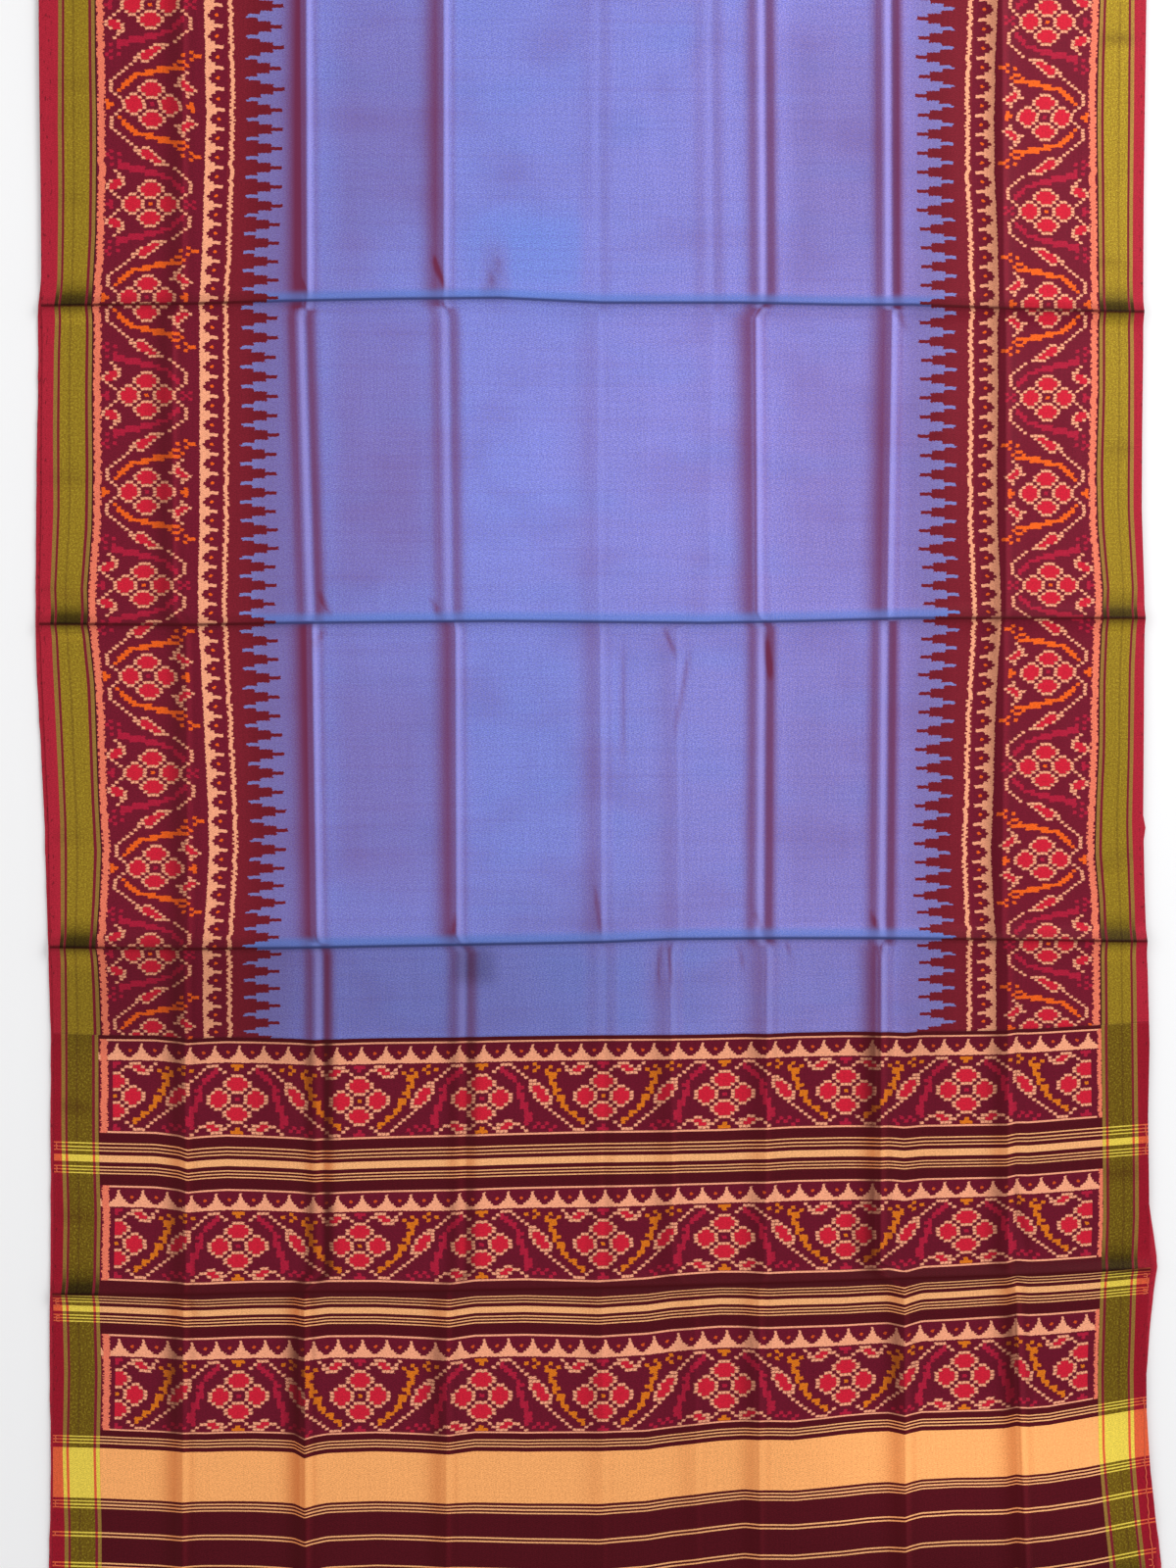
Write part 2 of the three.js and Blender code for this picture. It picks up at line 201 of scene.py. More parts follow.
# Small soft wrinkles inside the panels: x and place at both ends, depth (a ridge where it is above zero),
# half width
WRINKLES = [
    (90, 60, 150, 210, 0.7, 10), (220, 130, 262, 250, -0.5, 12), (360, 40, 405, 190, 0.6, 14),
    (520, 80, 566, 262, 0.5, 13), (660, 28, 690, 240, -0.6, 11), (842, 60, 826, 258, 0.7, 12),
    (968, 120, 980, 280, 0.6, 11), (1080, 40, 1096, 210, -0.5, 9), (100, 350, 132, 520, -0.6, 10),
    (232, 380, 268, 560, 0.6, 12), (372, 350, 392, 470, -0.6, 12), (540, 420, 580, 590, 0.7, 14),
    (668, 350, 650, 520, 0.6, 11), (838, 400, 850, 590, -0.6, 12), (962, 345, 958, 540, 0.7, 10),
    (1086, 380, 1100, 560, 0.6, 9), (112, 690, 128, 860, 0.6, 10), (246, 660, 262, 790, -0.7, 10),
    (380, 720, 402, 930, 0.7, 13), (540, 690, 528, 850, -0.6, 12), (634, 636, 632, 800, -0.7, 5),
    (673, 636, 690, 676, -0.9, 4), (705, 646, 683, 762, -0.9, 4), (840, 680, 846, 820, 0.7, 11),
    (962, 720, 952, 900, -0.6, 11), (1082, 700, 1094, 880, 0.7, 9), (118, 1000, 140, 1180, 0.6, 10),
    (252, 1010, 240, 1240, 0.7, 11), (398, 1040, 410, 1270, -0.7, 13), (540, 1010, 560, 1200, 0.6, 12),
    (676, 1060, 690, 1150, 1.0, 9), (702, 1060, 694, 1240, -0.8, 9), (832, 1020, 836, 1210, 0.7, 11),
    (962, 1040, 972, 1250, 0.7, 10), (1092, 1010, 1088, 1200, -0.6, 9), (120, 1370, 134, 1560, 0.6, 10),
    (250, 1360, 256, 1500, -0.6, 10), (390, 1380, 384, 1600, 0.7, 12), (536, 1360, 540, 1560, 0.9, 9),
    (40, 128, 104, 136, 1.0, 6), (40, 76, 100, 82, 0.6, 8), (1112, 50, 1168, 42, 1.0, 8),
    (40, 214, 96, 210, 0.5, 8), (1112, 190, 1168, 182, 0.8, 7), (1112, 262, 1168, 270, 0.6, 8),
    (38, 480, 98, 486, 0.5, 8), (1114, 470, 1166, 462, 0.8, 8), (36, 596, 92, 604, 0.8, 8),
    (48, 850, 104, 858, 0.6, 8), (1114, 888, 1168, 880, 1.0, 8), (1114, 780, 1166, 786, 0.5, 8),
    (54, 1138, 100, 1132, 0.8, 8), (1120, 1206, 1170, 1200, 0.9, 7), (54, 1236, 104, 1240, 0.7, 8),
    (660, 1350, 676, 1520, -0.6, 10), (840, 1350, 842, 1540, 0.7, 11), (984, 1360, 978, 1600, -0.7, 10),
    (1100, 1380, 1112, 1560, 0.6, 9), (300, 280, 315, 310, -1.0, 4), (323, 604, 338, 636, -1.0, 4),
    (337, 640, 319, 664, 0.9, 4), (437, 608, 449, 637, -0.9, 4), (436, 256, 457, 308, -0.9, 5),
    (510, 256, 488, 308, -0.9, 6), (470, 930, 463, 966, 0.7, 5), (766, 926, 779, 960, -0.9, 4),
    (890, 926, 903, 960, 0.8, 5), (914, 306, 930, 340, 0.6, 5), (751, 958, 757, 990, -0.8, 3),
    (799, 956, 807, 982, -0.8, 3), (680, 952, 684, 1012, -1.1, 3), (673, 956, 668, 1016, -0.9, 3),
    (609, 896, 616, 962, 0.9, 4), (788, 296, 776, 330, 0.7, 5), (774, 636, 784, 700, -0.9, 6),
    (180, 1310, 204, 1352, -0.8, 5), (296, 1300, 330, 1330, 0.8, 6), (1030, 1200, 1052, 1300, -0.8, 6),
    (870, 1230, 886, 1300, 0.7, 6),
]

# The dyed pattern, charted. One letter is one bundle of threads: p peach, r red, c crimson, o orange

BORDER_CHART = [
    "oo..prrrrp.c.prrrrp.oo...",
    "o...prrrrp...prrrrp..o...",
    "...p.prrp.ppp.prrp.......",
    "..p...pp.prrrp.pp...p....",
    ".p.o....prrrrrp.....pp...",
    ".p..o...prrrrrp....prrp..",
    ".p..oo...prrrp...pprrp...",
    ".p...oo...ppp.....prp....",
    "..p...oo..........pp.....",
    "...p...ooooo.......p.....",
    "....p.....oooooo....p....",
    ".....p.......ooooooo.....",
    "......p..........o..o....",
    ".......p.pp.......oo.....",
    ".c.....pprrp.........o...",
    "c..c....prrrp......o..oo.",
    ".c.......prrrp.......o...",
    "...c.......prrp..........",
    ".c.ccc......pppp.........",
    "...ccccccc.......p.......",
    "..p...ccccccc.....p......",
    "...p......ccccc....p.....",
    "...pp.........ccc...p....",
    ".prrp.....ppp....c...p...",
    "prrrp....prrrp...cc..p...",
    "prrp....prrrrrp...cc.p...",
    ".p......prrrrrp....c.p...",
    "..p...pp.prrrp.pp...p....",
    "...p.prrp.ppp.prrp.p.....",
    ".c..prrrrp...prrrrp.c.c..",
    "cc..prrrrp.o.prrrrp..c...",
]

PALLU_CHART = [
    "oo...ppp.....o......p...ppp..cc",
    "o...pc..p..o..o..o...p.prrpp..c",
    "...p.cc..p...o..o..o.pprrp..p..",
    "pp....cc..p.....ooo...ppp....pp",
    "rrp....cc..p.....oo.........prr",
    "rrrp....c...pp...o.........prrr",
    "rrrp.....c..ppp..oo........prrr",
    "rrp.pp...cc.prrp..o......pp.prr",
    "pp.prrp..c..prrrp.oo....prrp.pp",
    "..prrrrp.cc..prrp.o....prrrrp..",
    "c.prrrrp.cc..prrrp.oo..prrrrp.o",
    "..prrrrp..c...prrp.oo..prrrrp..",
    "pp.prrp...cc...ppp..o...prrp.pp",
    "rrp.pp....cc....p...oo...pp.prr",
    "rrrp.......c.....p...o.....prrr",
    "rrrp.......cc.....p...oo...prrr",
    "rrp........cc......p...o....prr",
    "pp....pp...cc.......p...oo...pp",
    "..p.pprrpp.c..c.c....p...o.p...",
    "o..pprrp..p..c.c..c...p...p...c",
    "oo..ppp....p.....c.....ppp...cc",
]

LETTERS = ".prco"

# A tooth of each comb, over one pitch with its tip in the middle: where each step starts, and its height
# against the tip's
SIDE_TOOTH = [
    (0.0, 0.19), (0.085, 0.31), (0.25, 0.54), (0.415, 1.0), (0.585, 0.54), (0.75, 0.31), (0.915, 0.19),
]
END_TOOTH = [
    (0.0, 0.19), (0.13, 0.31), (0.23, 0.44), (0.34, 0.60), (0.41, 0.76), (0.45, 1.0), (0.55, 0.76),
    (0.59, 0.60), (0.66, 0.44), (0.77, 0.31), (0.87, 0.19),
]

# Lines woven across the end panel, by v: the first and last millimetre of each, in four stretches
PALLU_LINES = {
    "first": (1160.0, 1204.0, [(1166.6, 1167.8), (1170.3, 1171.5), (1173.7, 1174.9), (1178.9, 1185.9),
                               (1190.1, 1191.3), (1193.4, 1194.6), (1196.7, 1197.9)]),
    "second": (1315.0, 1359.0, [(1321.6, 1322.8), (1324.8, 1326.0), (1328.0, 1329.2), (1333.0, 1339.2),
                                (1342.3, 1343.5), (1345.4, 1346.6), (1348.5, 1349.7)]),
    "third": (1462.0, 1544.0, [(1465.3, 1466.6), (1468.6, 1469.9), (1471.9, 1473.2), (1477.6, 1528.8),
                               (1531.4, 1532.7), (1534.7, 1536.0), (1538.0, 1539.3)]),
}
PAIR_START = 1560.0
PAIR_PITCH = 31.0
PAIR_LINES = [(3.5, 5.0), (7.1, 8.6)]

# Warps near each selvedge, by distance from it: where each stripe starts and its colour's name
WARP_STRIPES = [
    (0.0, "selvedge"), (CRIMSON_WIDTH, "olive_line"), (22.2, "maroon"), (24.8, "olive"),
    (50.0, "maroon"), (52.6, "olive_line"), (56.4, "dark"), (66.0, "dark"),
]


class SareeSizes(bpy.types.PropertyGroup):
    """Sizes of the cloth and of how it lies"""
    thickness: FloatProperty(
        name="Thickness", description="Thickness of one layer of the silk as it is shown",
        default=0.0009, min=0.0004, max=0.003, unit="LENGTH")
    relief: FloatProperty(
        name="Crease height", description="Height of every crease against the one in the tables",
        default=1.0, min=0.0, max=1.5, subtype="FACTOR")
    columns: IntProperty(
        name="Columns", description="Columns of faces on each side of a lengthwise crease", default=15, min=4,
        max=16)
    rows: IntProperty(
        name="Rows", description="Rows of faces on each side of a crosswise crease", default=19, min=6,
        max=24)
    thread: FloatProperty(
        name="Carried thread", description="Thickness of the weft threads that turn at the selvedge",
        default=0.0011, min=0.0004, max=0.003, unit="LENGTH")
    weave: FloatProperty(
        name="Weave pitch", description="Distance between neighbouring ribs of the weave",
        default=0.0012, min=0.0005, max=0.004, unit="LENGTH")
    view_height: FloatProperty(
        name="Camera height", description="Height of the camera above the cloth", default=2.4, min=1.0,
        max=6.0, unit="LENGTH")


def dye_property(label, words, red, green, blue):
    """A colour as a user picks it, given in the 0 to 255 of a colour card."""
    return FloatVectorProperty(
        name=label, description=words, subtype="COLOR_GAMMA", size=3, min=0.0, max=1.0,
        default=(red / 255, green / 255, blue / 255))


class SareeDyes(bpy.types.PropertyGroup):
    """Colours of the dyed silk, the metal thread and the floor, and of the painted light, shade and sheen on
    the silk
    """
    field: dye_property("Field", "Periwinkle of the plain field", 134, 140, 210)
    # Painted sheen: the field painted rosier towards the lit right side
    field_sheen: dye_property("Field, rosier", "The field towards the lit right side", 150, 140, 206)
    field_deep: dye_property("Field, deeper", "The deeper threads of the field", 106, 110, 204)
    # Used for a painted bluer sheen where the painted red-warp shade is below zero, and for random patches of
    # tone
    field_blue: dye_property("Field, bluer", "The field where its blue weft shows most", 104, 146, 222)
    finger: dye_property("Fingers", "Greyer blue between the stepped fingers", 118, 124, 182)
    # Painted shade: the wine red painted beside a crease, where the tilted cloth shows its red warp; it also
    # tints random patches of the field
    flank: dye_property("Crease flank", "Wine red of the field beside a crease", 108, 42, 74)
    # Painted highlight: the rosy blue painted on the crest of a crease
    shine: dye_property("Crease crest", "Rosy blue on the crest of a crease", 152, 142, 208)
    # Painted sheen: the bluer strip painted before a crosswise fold
    fold_sheen: dye_property("Before a fold", "Bluer strip of the field before a crosswise fold", 74, 118, 190)
    # Painted shadow: the dark line painted in a crosswise fold
    fold_shadow: dye_property("Fold line", "Dark blue of the field in a crosswise fold", 46, 52, 100)
    # Painted shade: the darkest maroon painted in the creases and folds of the figured parts
    deep: dye_property("Deep maroon", "Darkest maroon in the figured part's folds", 66, 6, 12)
    maroon: dye_property("Maroon", "Plain maroon beside the border", 120, 28, 42)
    ground: dye_property("Border ground", "Dark maroon behind the border's figures", 112, 22, 42)
    pallu_ground: dye_property("Pallu ground", "Dark maroon behind the end panel's figures", 103, 19, 39)
    pallu_plain: dye_property("Pallu plain", "Darkest maroon between the end panel's bands", 78, 13, 23)
    red: dye_property("Red", "Red of the flowers", 199, 30, 52)
    peach: dye_property("Peach", "Undyed peach of outlines, combs and stripes", 240, 162, 126)
    salmon: dye_property("Salmon", "Peach of the stripe that borders the figures", 228, 118, 92)
    crimson: dye_property("Crimson", "Crimson of the small figures", 168, 27, 55)
    orange: dye_property("Orange", "Orange of the small figures", 232, 94, 26)
    pallu_orange: dye_property("Pallu orange", "Orange of the end panel's figures", 212, 112, 24)
    olive: dye_property("Olive", "Olive gold of the metal-thread band", 160, 132, 34)
    fleck: dye_property("Fleck", "Brighter flecks of the metal thread", 192, 172, 56)
    olive_line: dye_property("Olive line", "Paler olive of the thin lines", 152, 116, 54)
    pallu_olive: dye_property("Pallu olive", "Darker olive of the band in the end panel", 118, 94, 20)
    selvedge: dye_property("Selvedge", "Crimson of the selvedge", 168, 34, 52)
    pallu_selvedge: dye_property("Pallu selvedge", "Darker crimson at the end panel's edge", 144, 20, 38)
    dark: dye_property("Dark", "Near black beside the olive", 70, 20, 26)
    band: dye_property("Peach band", "Peach of the wefts across the end panel", 244, 168, 102)
    # Painted shade: the orange painted beside a crease on the peach wefts
    band_shade: dye_property("Peach band, creased", "Orange of the peach wefts beside a crease", 190, 96, 44)
    band_line: dye_property("Peach line", "Peach of the thin wefts across the end panel", 238, 172, 116)
    band_olive: dye_property("Yellow", "Peach wefts over the olive warps", 224, 198, 76)
    band_selvedge: dye_property("Orange red", "Peach wefts over the crimson warps", 216, 92, 56)
    floor: dye_property("Floor", "Plain pale floor", 240, 240, 241)


def linear(value):
    """One sRGB channel, 0 to 1, as scene light."""
    return value / 12.92 if value <= 0.04045 else ((value + 0.055) / 1.055) ** 2.4


def dye(name):
    """A named colour as the four linear channels that a node takes."""
    return (*(linear(channel) for channel in getattr(bpy.context.scene.saree_dyes, name)), 1.0)


def sizes():
    """The saree's sizes, as its panel shows them."""
    return bpy.context.scene.saree_sizes


# How the cloth lies

def read_table(table, key, column):
    """A column of a table at a key, straight between its rows."""
    if key <= table[0][0]:
        return table[0][column]
    for low, high in zip(table, table[1:]):
        if key <= high[0]:
            share = (key - low[0]) / (high[0] - low[0])
            return low[column] + share * (high[column] - low[column])
    return table[-1][column]


def smooth_step(value):
    """0 below 0, 1 above 1, and a soft step between."""
    value = min(max(value, 0.0), 1.0)
    return value * value * (3 - 2 * value)


def bell(distance, middle, width):
    """A soft bump, 1 in its middle."""
    return math.exp(-((distance - middle) / width) ** 2)


def drift_at(x, place):
    """How far a weft that starts at this place lies from it, at x."""
    place = min(max(place, DRIFT_PLACES[0]), DRIFT_PLACES[-1])
    for index, (low, high) in enumerate(zip(DRIFT_PLACES, DRIFT_PLACES[1:])):
        if place <= high:
            share = smooth_step((place - low) / (high - low))
            near = read_table(DRIFT, x, index + 1)
            return near + share * (read_table(DRIFT, x, index + 2) - near)
    return 0.0


# Where the first panel starts, where the first crosswise fold ends it, and where the last panel ends
FAR_PANEL_START = -160
FAR_FOLD = -22
NEAR_PANEL_END = 1700


def panel_of(place):
    """The panel that a place lies in, how far through it, 0 to 1, and where the panel starts and ends."""
    folds = [(points[0][1] + points[-1][1]) / 2 for _, _, points in CROSS_FOLDS[1:5]]
    marks = [FAR_PANEL_START, FAR_FOLD, *folds, NEAR_PANEL_END]
    for index, (low, high) in enumerate(zip(marks, marks[1:])):
        if place <= high:
            return index, (place - low) / (high - low), low, high
    return len(marks) - 2, 1.0, marks[-2], marks[-1]


JOG_LENGTH = 9.0


def jogged(x, rise, other_x, other_rise, away):
    """A fold's x and height near a crosswise fold, half way to the next panel's where the two panels meet."""
    blend = 0.5 + 0.5 * smooth_step(away / JOG_LENGTH)
    return other_x + (x - other_x) * blend, other_rise + (rise - other_rise) * blend


def length_fold_at(fold, place):
    """x and height of a lengthwise fold at a place, and its height in the panel's middle. It jogs over a few
    millimetres at each crosswise fold."""
    panels = fold[1]
    panel, share, low, high = panel_of(place)
    panel = min(panel, len(panels) - 1)
    start, end, middle = panels[panel]
    x = start + (end - start) * share
    rise = middle
    if panel > 0 and place - low < JOG_LENGTH:
        x, rise = jogged(x, rise, *panels[panel - 1][1:], place - low)
    if panel + 1 < len(panels) and high - place < JOG_LENGTH:
        x, rise = jogged(x, rise, panels[panel + 1][0], panels[panel + 1][2], high - place)
    return x, rise, middle


CREST_ROUNDING = 1.4
FLANK_POWER = 1.7


def ridge(distance, reach):
    """A fold's profile, 1 at its rounded crest and 0 at its feet."""
    run = math.hypot(distance, CREST_ROUNDING) - CREST_ROUNDING
    return max(0.0, 1 - run / reach) ** FLANK_POWER


# A ridge's flanks and the low roll beside it, and a valley's depth, shoulders and bottom. Reaches and the
# roll's place are shares of the fold's half width, and the roll's width is in millimetres
LEFT_FLANK = 1.9
RIGHT_FLANK = 0.8
ROLL_HEIGHT = 0.14
ROLL_PLACE = 0.8
ROLL_WIDTH = 4
VALLEY_DEPTH = 0.8
SHOULDER_REACH = 1.35
BOTTOM_REACH = 0.42


def crease_profile(distance, reach, rise):
    """A lengthwise fold's height. A ridge is long on its left and short on its right, with a low roll beside
    it, and a valley lies between two shoulders."""
    if rise >= 0:
        flank = LEFT_FLANK if distance < 0 else RIGHT_FLANK
        roll = ROLL_HEIGHT * bell(distance, ROLL_PLACE * reach, ROLL_WIDTH)
        return rise * (ridge(distance, reach * flank) + roll)
    shoulders = bell(distance, 0, SHOULDER_REACH * reach)
    return -VALLEY_DEPTH * rise * (shoulders - bell(distance, 0, BOTTOM_REACH * reach))


# Wrinkles: how far past its ends one is looked for, its cut-off in half widths, the share of its length that
# tapers, the half width under which it gets painted shade of the red warp, how much, and where beside it in
# half widths
WRINKLE_MARGIN = 30
WRINKLE_CUT = 3
WRINKLE_TAPER = 0.35
NARROW_WRINKLE = 9
WRINKLE_SHADE = 0.45
WRINKLE_FLANK = 0.6


def wrinkle_at(x, place):
    """The wrinkles' height at a point, and the painted red-warp shade that the narrow ones get on their left
    flank.
    """
    height, wine = 0.0, 0.0
    for x0, p0, x1, p1, depth, width in WRINKLES:
        if min(p0, p1) - WRINKLE_MARGIN > place or max(p0, p1) + WRINKLE_MARGIN < place:
            continue
        along_x, along_p = x1 - x0, p1 - p0
        length = math.hypot(along_x, along_p)
        along = ((x - x0) * along_x + (place - p0) * along_p) / length
        across = ((x - x0) * along_p - (place - p0) * along_x) / length
        if abs(across) > WRINKLE_CUT * width:
            continue
        end = WRINKLE_TAPER * length
        taper = smooth_step(along / end) * smooth_step((length - along) / end)
        height += depth * taper * bell(across, 0, width)
        # Painted shade of the red warp on the left flank of a narrow wrinkle
        if width < NARROW_WRINKLE:
            flank = -math.copysign(WRINKLE_FLANK * width, depth)
            beside = across * math.copysign(1.0, along_p)
            wine += WRINKLE_SHADE * abs(depth) * taper * bell(beside, flank, WRINKLE_FLANK * width)
    return height, wine


# Bands of painted shade in the red warp's colour beside a lengthwise fold: how strong, how far to its right,
# and how wide on the band's left and right. Then where the painted highlight on the crest lies and how wide,
# and how much a millimetre of height shows
RIDGE_BANDS = [(0.9, -7, 13.0, 4.5), (0.3, 9, 3, 3), (0.65, -1.5, 1.6, 1.6)]
RIDGE_SHINE = (3, 2.2)
VALLEY_BANDS = [(0.85, 6, 5.5, 5.5), (0.7, -13, 6.5, 6.5), (0.25, 2, 1.8, 1.8)]
VALLEY_SHINE = (-4, 2.6)
TINT_PER_MM = 0.25


def crease_tint(distance, rise):
    """How much painted shade in the red warp's colour lies beside a lengthwise fold, and how much painted
    highlight its crest gets. A ridge gets the painted red shade on its left, and a valley on its right and
    behind its left shoulder."""
    share = min(1.0, TINT_PER_MM * abs(rise))
    bands, shine = (RIDGE_BANDS, RIDGE_SHINE) if rise >= 0 else (VALLEY_BANDS, VALLEY_SHINE)
    wine = sum(strength * bell(distance, middle, left if distance < middle else right)
               for strength, middle, left, right in bands)
    return share * wine, share * bell(distance, *shine)


# The height of the slow waves, how sharply crossing folds merge, the height under all of them, and how near
# to a fold counts as on it
SWELL_HEIGHT = 0.25
FOLD_BLEND = 4.0
BASE_HEIGHT = 0.3
AT_FOLD = 0.5


def swell_at(x, place):
    """Low, slow waves of the cloth between its folds."""
    return SWELL_HEIGHT * math.sin(x * 0.021 + 1.3 * math.sin(place * 0.011)) * math.sin(place * 0.017 + 0.8)


class Lay:
    """The height of the cloth at a point, how far it is from the crosswise folds before and after it, how
    much painted shade in the red warp's colour it gets, how much painted highlight its crest has, and how much
    lighter the painted light makes it."""
    far = 60.0

    def __init__(self, x, place):
        gaps = [place - read_table(points, x, 1) for _, _, points in CROSS_FOLDS]
        fold_rise = max(rise * ridge(gap, reach) for gap, (rise, reach, _) in zip(gaps, CROSS_FOLDS))
        self.before_fold = min([max(-gap, 0.0) for gap in gaps if gap < AT_FOLD] + [self.far])
        self.after_fold = min([max(gap, 0.0) for gap in gaps if gap > -AT_FOLD] + [self.far])
        crease_rise, self.crest, self.light = 0.0, 0.0, 0.0
        height, self.wine = wrinkle_at(x, place)
        for fold in LENGTH_FOLDS:
            at, rise, middle = length_fold_at(fold, place)
            crease_rise = max(crease_rise, crease_profile(x - at, fold[0], rise))
            wine, crest = crease_tint(x - at, middle)
            self.wine += wine
            self.crest += crest
        # Painted light and shade, and painted red-warp shade, laid in soft patches
        for px, pp, wide, long, wine, light in LIGHT_AND_SHADE_PATCHES:
            share = math.exp(-((x - px) / wide) ** 4 - ((place - pp) / long) ** 4)
            self.wine += wine * share
            self.light += light * share
        both = (fold_rise ** FOLD_BLEND + crease_rise ** FOLD_BLEND) ** (1 / FOLD_BLEND)
        self.height = sizes().relief * (both + height + swell_at(x, place) + BASE_HEIGHT)

    def marks(self):
        return self.before_fold, self.after_fold, self.wine, self.crest, self.light


# The marks kept at the cloth's points: distances to the crosswise folds, painted red-warp shade, painted crest
# highlight, and painted light and shade
MARKS = ("before_fold", "after_fold", "wine", "crest", "light")
COLUMN_GATHER = 1.6
ROW_GATHER = 1.8


def stretched_steps(nodes, count, power):
    """Places between the nodes, gathered close to each of them."""
    steps = [nodes[0]]
    for low, high in zip(nodes, nodes[1:]):
        half = (high - low) / 2
        steps += [low + half * (i / count) ** power for i in range(1, count + 1)]
        steps += [high - half * (i / count) ** power for i in range(count - 1, -1, -1)]
    return steps


def column_places(place):
    """x of each column of the cloth at a place, gathered at the creases and at both selvedges."""
    nodes = [read_table(EDGES, place, 1)]
    nodes += [length_fold_at(fold, place)[0] for fold in LENGTH_FOLDS]
    nodes.append(read_table(EDGES, place, 4))
    return stretched_steps(nodes, sizes().columns, COLUMN_GATHER)


def fold_cloth_place(fold):
    """The weft that a crosswise fold lies along, on average."""
    points = fold[2]
    return sum(at - drift_at(x, at) for x, at in points) / len(points)


BEND_REACH = 40


def row_point(x, weft):
    """Where a weft lies at x: wefts next to a crosswise fold bend with it. Returns the place."""
    place = weft + drift_at(x, weft)
    for fold in CROSS_FOLDS:
        nominal = fold_cloth_place(fold)
        away = abs(weft - nominal)
        if away < BEND_REACH:
            wanted = read_table(fold[2], x, 1)
            there = nominal + drift_at(x, nominal)
            place += (wanted - there) * (1 - smooth_step(away / BEND_REACH))
    return place


def along_knots(knots, x):
    """The value at x of a run of (x, value) knots, straight between them and beyond the ends."""
    for low, high in zip(knots, knots[1:]):
        if x <= high[0]:
            break
    return low[1] + (high[1] - low[1]) * (x - low[0]) / (high[0] - low[0])


# Knots of the pattern across: how far past the comb's back the border still sets the places in the body, the
# stripe's outer edge from the crimson's inner one in the end panel, left and right, and the end panel's own
# knots between, x and u
COMB_BESIDE = 60
BODY_MARKS_END = 1058
PALLU_STRIPES = (39.5, 38.0)
PALLU_ACROSS = [(505.0, 457.8), (880.0, 832.6)]

# Knots of the pattern along in the end panel: how far down the view, and v
PALLU_ALONG = [(0, 0), (1061, 1061), (1154.3, 1156), (1163, 1163), (1362, 1362), (1460, 1457), (1464, 1464),
               (1700, 1700)]


def pattern_u(x, place, body):
    """The distance across the cloth, in the pattern's own millimetres."""
    left, right = read_table(EDGES, place, 2), read_table(EDGES, place, 3)
    if x < left:
        return CRIMSON_WIDTH + (x - left)
    if x > right:
        return PATTERN_WIDTH - CRIMSON_WIDTH + (x - right)
    if body:
        marks = [read_table(BORDER_MARKS, min(place, BODY_MARKS_END), column) for column in (1, 2, 3, 4)]
        between = [(marks[1], COMB_BACK), (marks[1] + COMB_BESIDE, COMB_BACK + COMB_BESIDE),
                   (marks[2] - COMB_BESIDE, PATTERN_WIDTH - COMB_BACK - COMB_BESIDE),
                   (marks[2], PATTERN_WIDTH - COMB_BACK)]
        stripes = marks[0], marks[3]
    else:
        between = PALLU_ACROSS
        stripes = left + PALLU_STRIPES[0], right - PALLU_STRIPES[1]
    return along_knots([(left, CRIMSON_WIDTH), (stripes[0], WARPS_WIDTH), *between,
                        (stripes[1], PATTERN_WIDTH - WARPS_WIDTH), (right, PATTERN_WIDTH - CRIMSON_WIDTH)], x)


def pattern_v(x, place, weft, body):
    """The distance along the cloth, in the pattern's own millimetres: by the combs' teeth in the body, and in
    the end panel by its lines, with the three figured bands brought to one height."""
    if body:
        columns = [along_knots([(row[column], row[0]) for row in TOOTH_MARKS], place)
                   for column in (1, 2, 3, 4)]
        x = min(max(x, TOOTH_COLUMNS[0]), TOOTH_COLUMNS[-1])
        return along_knots(list(zip(TOOTH_COLUMNS, columns)), x)
    return along_knots(PALLU_ALONG, place - drift_at(x, weft))


# The length of a panel that has all its rows, the fewest rows, and how near its end a fold is left out
PANEL_LENGTH = 330
FEWEST_ROWS = 5
END_MARGIN = 12


def build_run(name, first, last, body):
    """One stretch of the top run, from one weft to another, as an open grid with its pattern's places."""
    wefts = [first]
    for fold in CROSS_FOLDS:
        at = fold_cloth_place(fold)
        if first + END_MARGIN < at < last - END_MARGIN:
            wefts.append(at)
    wefts.append(last)
    rows = [wefts[0]]
    for low, high in zip(wefts, wefts[1:]):
        count = max(FEWEST_ROWS, round(sizes().rows * (high - low) / PANEL_LENGTH))
        rows += stretched_steps([low, high], count, ROW_GATHER)[1:]
    mesh_points, uv_points, marks = [], [], []
    width = len(column_places(first))
    for weft in rows:
        for x in column_places(weft):
            place = row_point(x, weft)
            lay = Lay(x, place)
            mesh_points.append(((x - MIDDLE_X) * MM, (ZERO_Y - place) * MM, (TOP_FACE + lay.height) * MM))
            uv_points.append((pattern_u(x, place, body), pattern_v(x, place, weft, body)))
            marks.append(lay.marks())
    faces = []
    for row in range(len(rows) - 1):
        for column in range(width - 1):
            corner = row * width + column
            faces.append((corner, corner + width, corner + width + 1, corner + 1))
    if body:
        turn_rows(mesh_points, uv_points, marks, faces, width)
    return finish_grid(name, mesh_points, uv_points, marks, faces)


# The far turn: its steps, its radius, and the height that it comes down to
TURN_STEPS = 8
TURN_RADIUS = 3.6
TURN_FOOT = 0.9


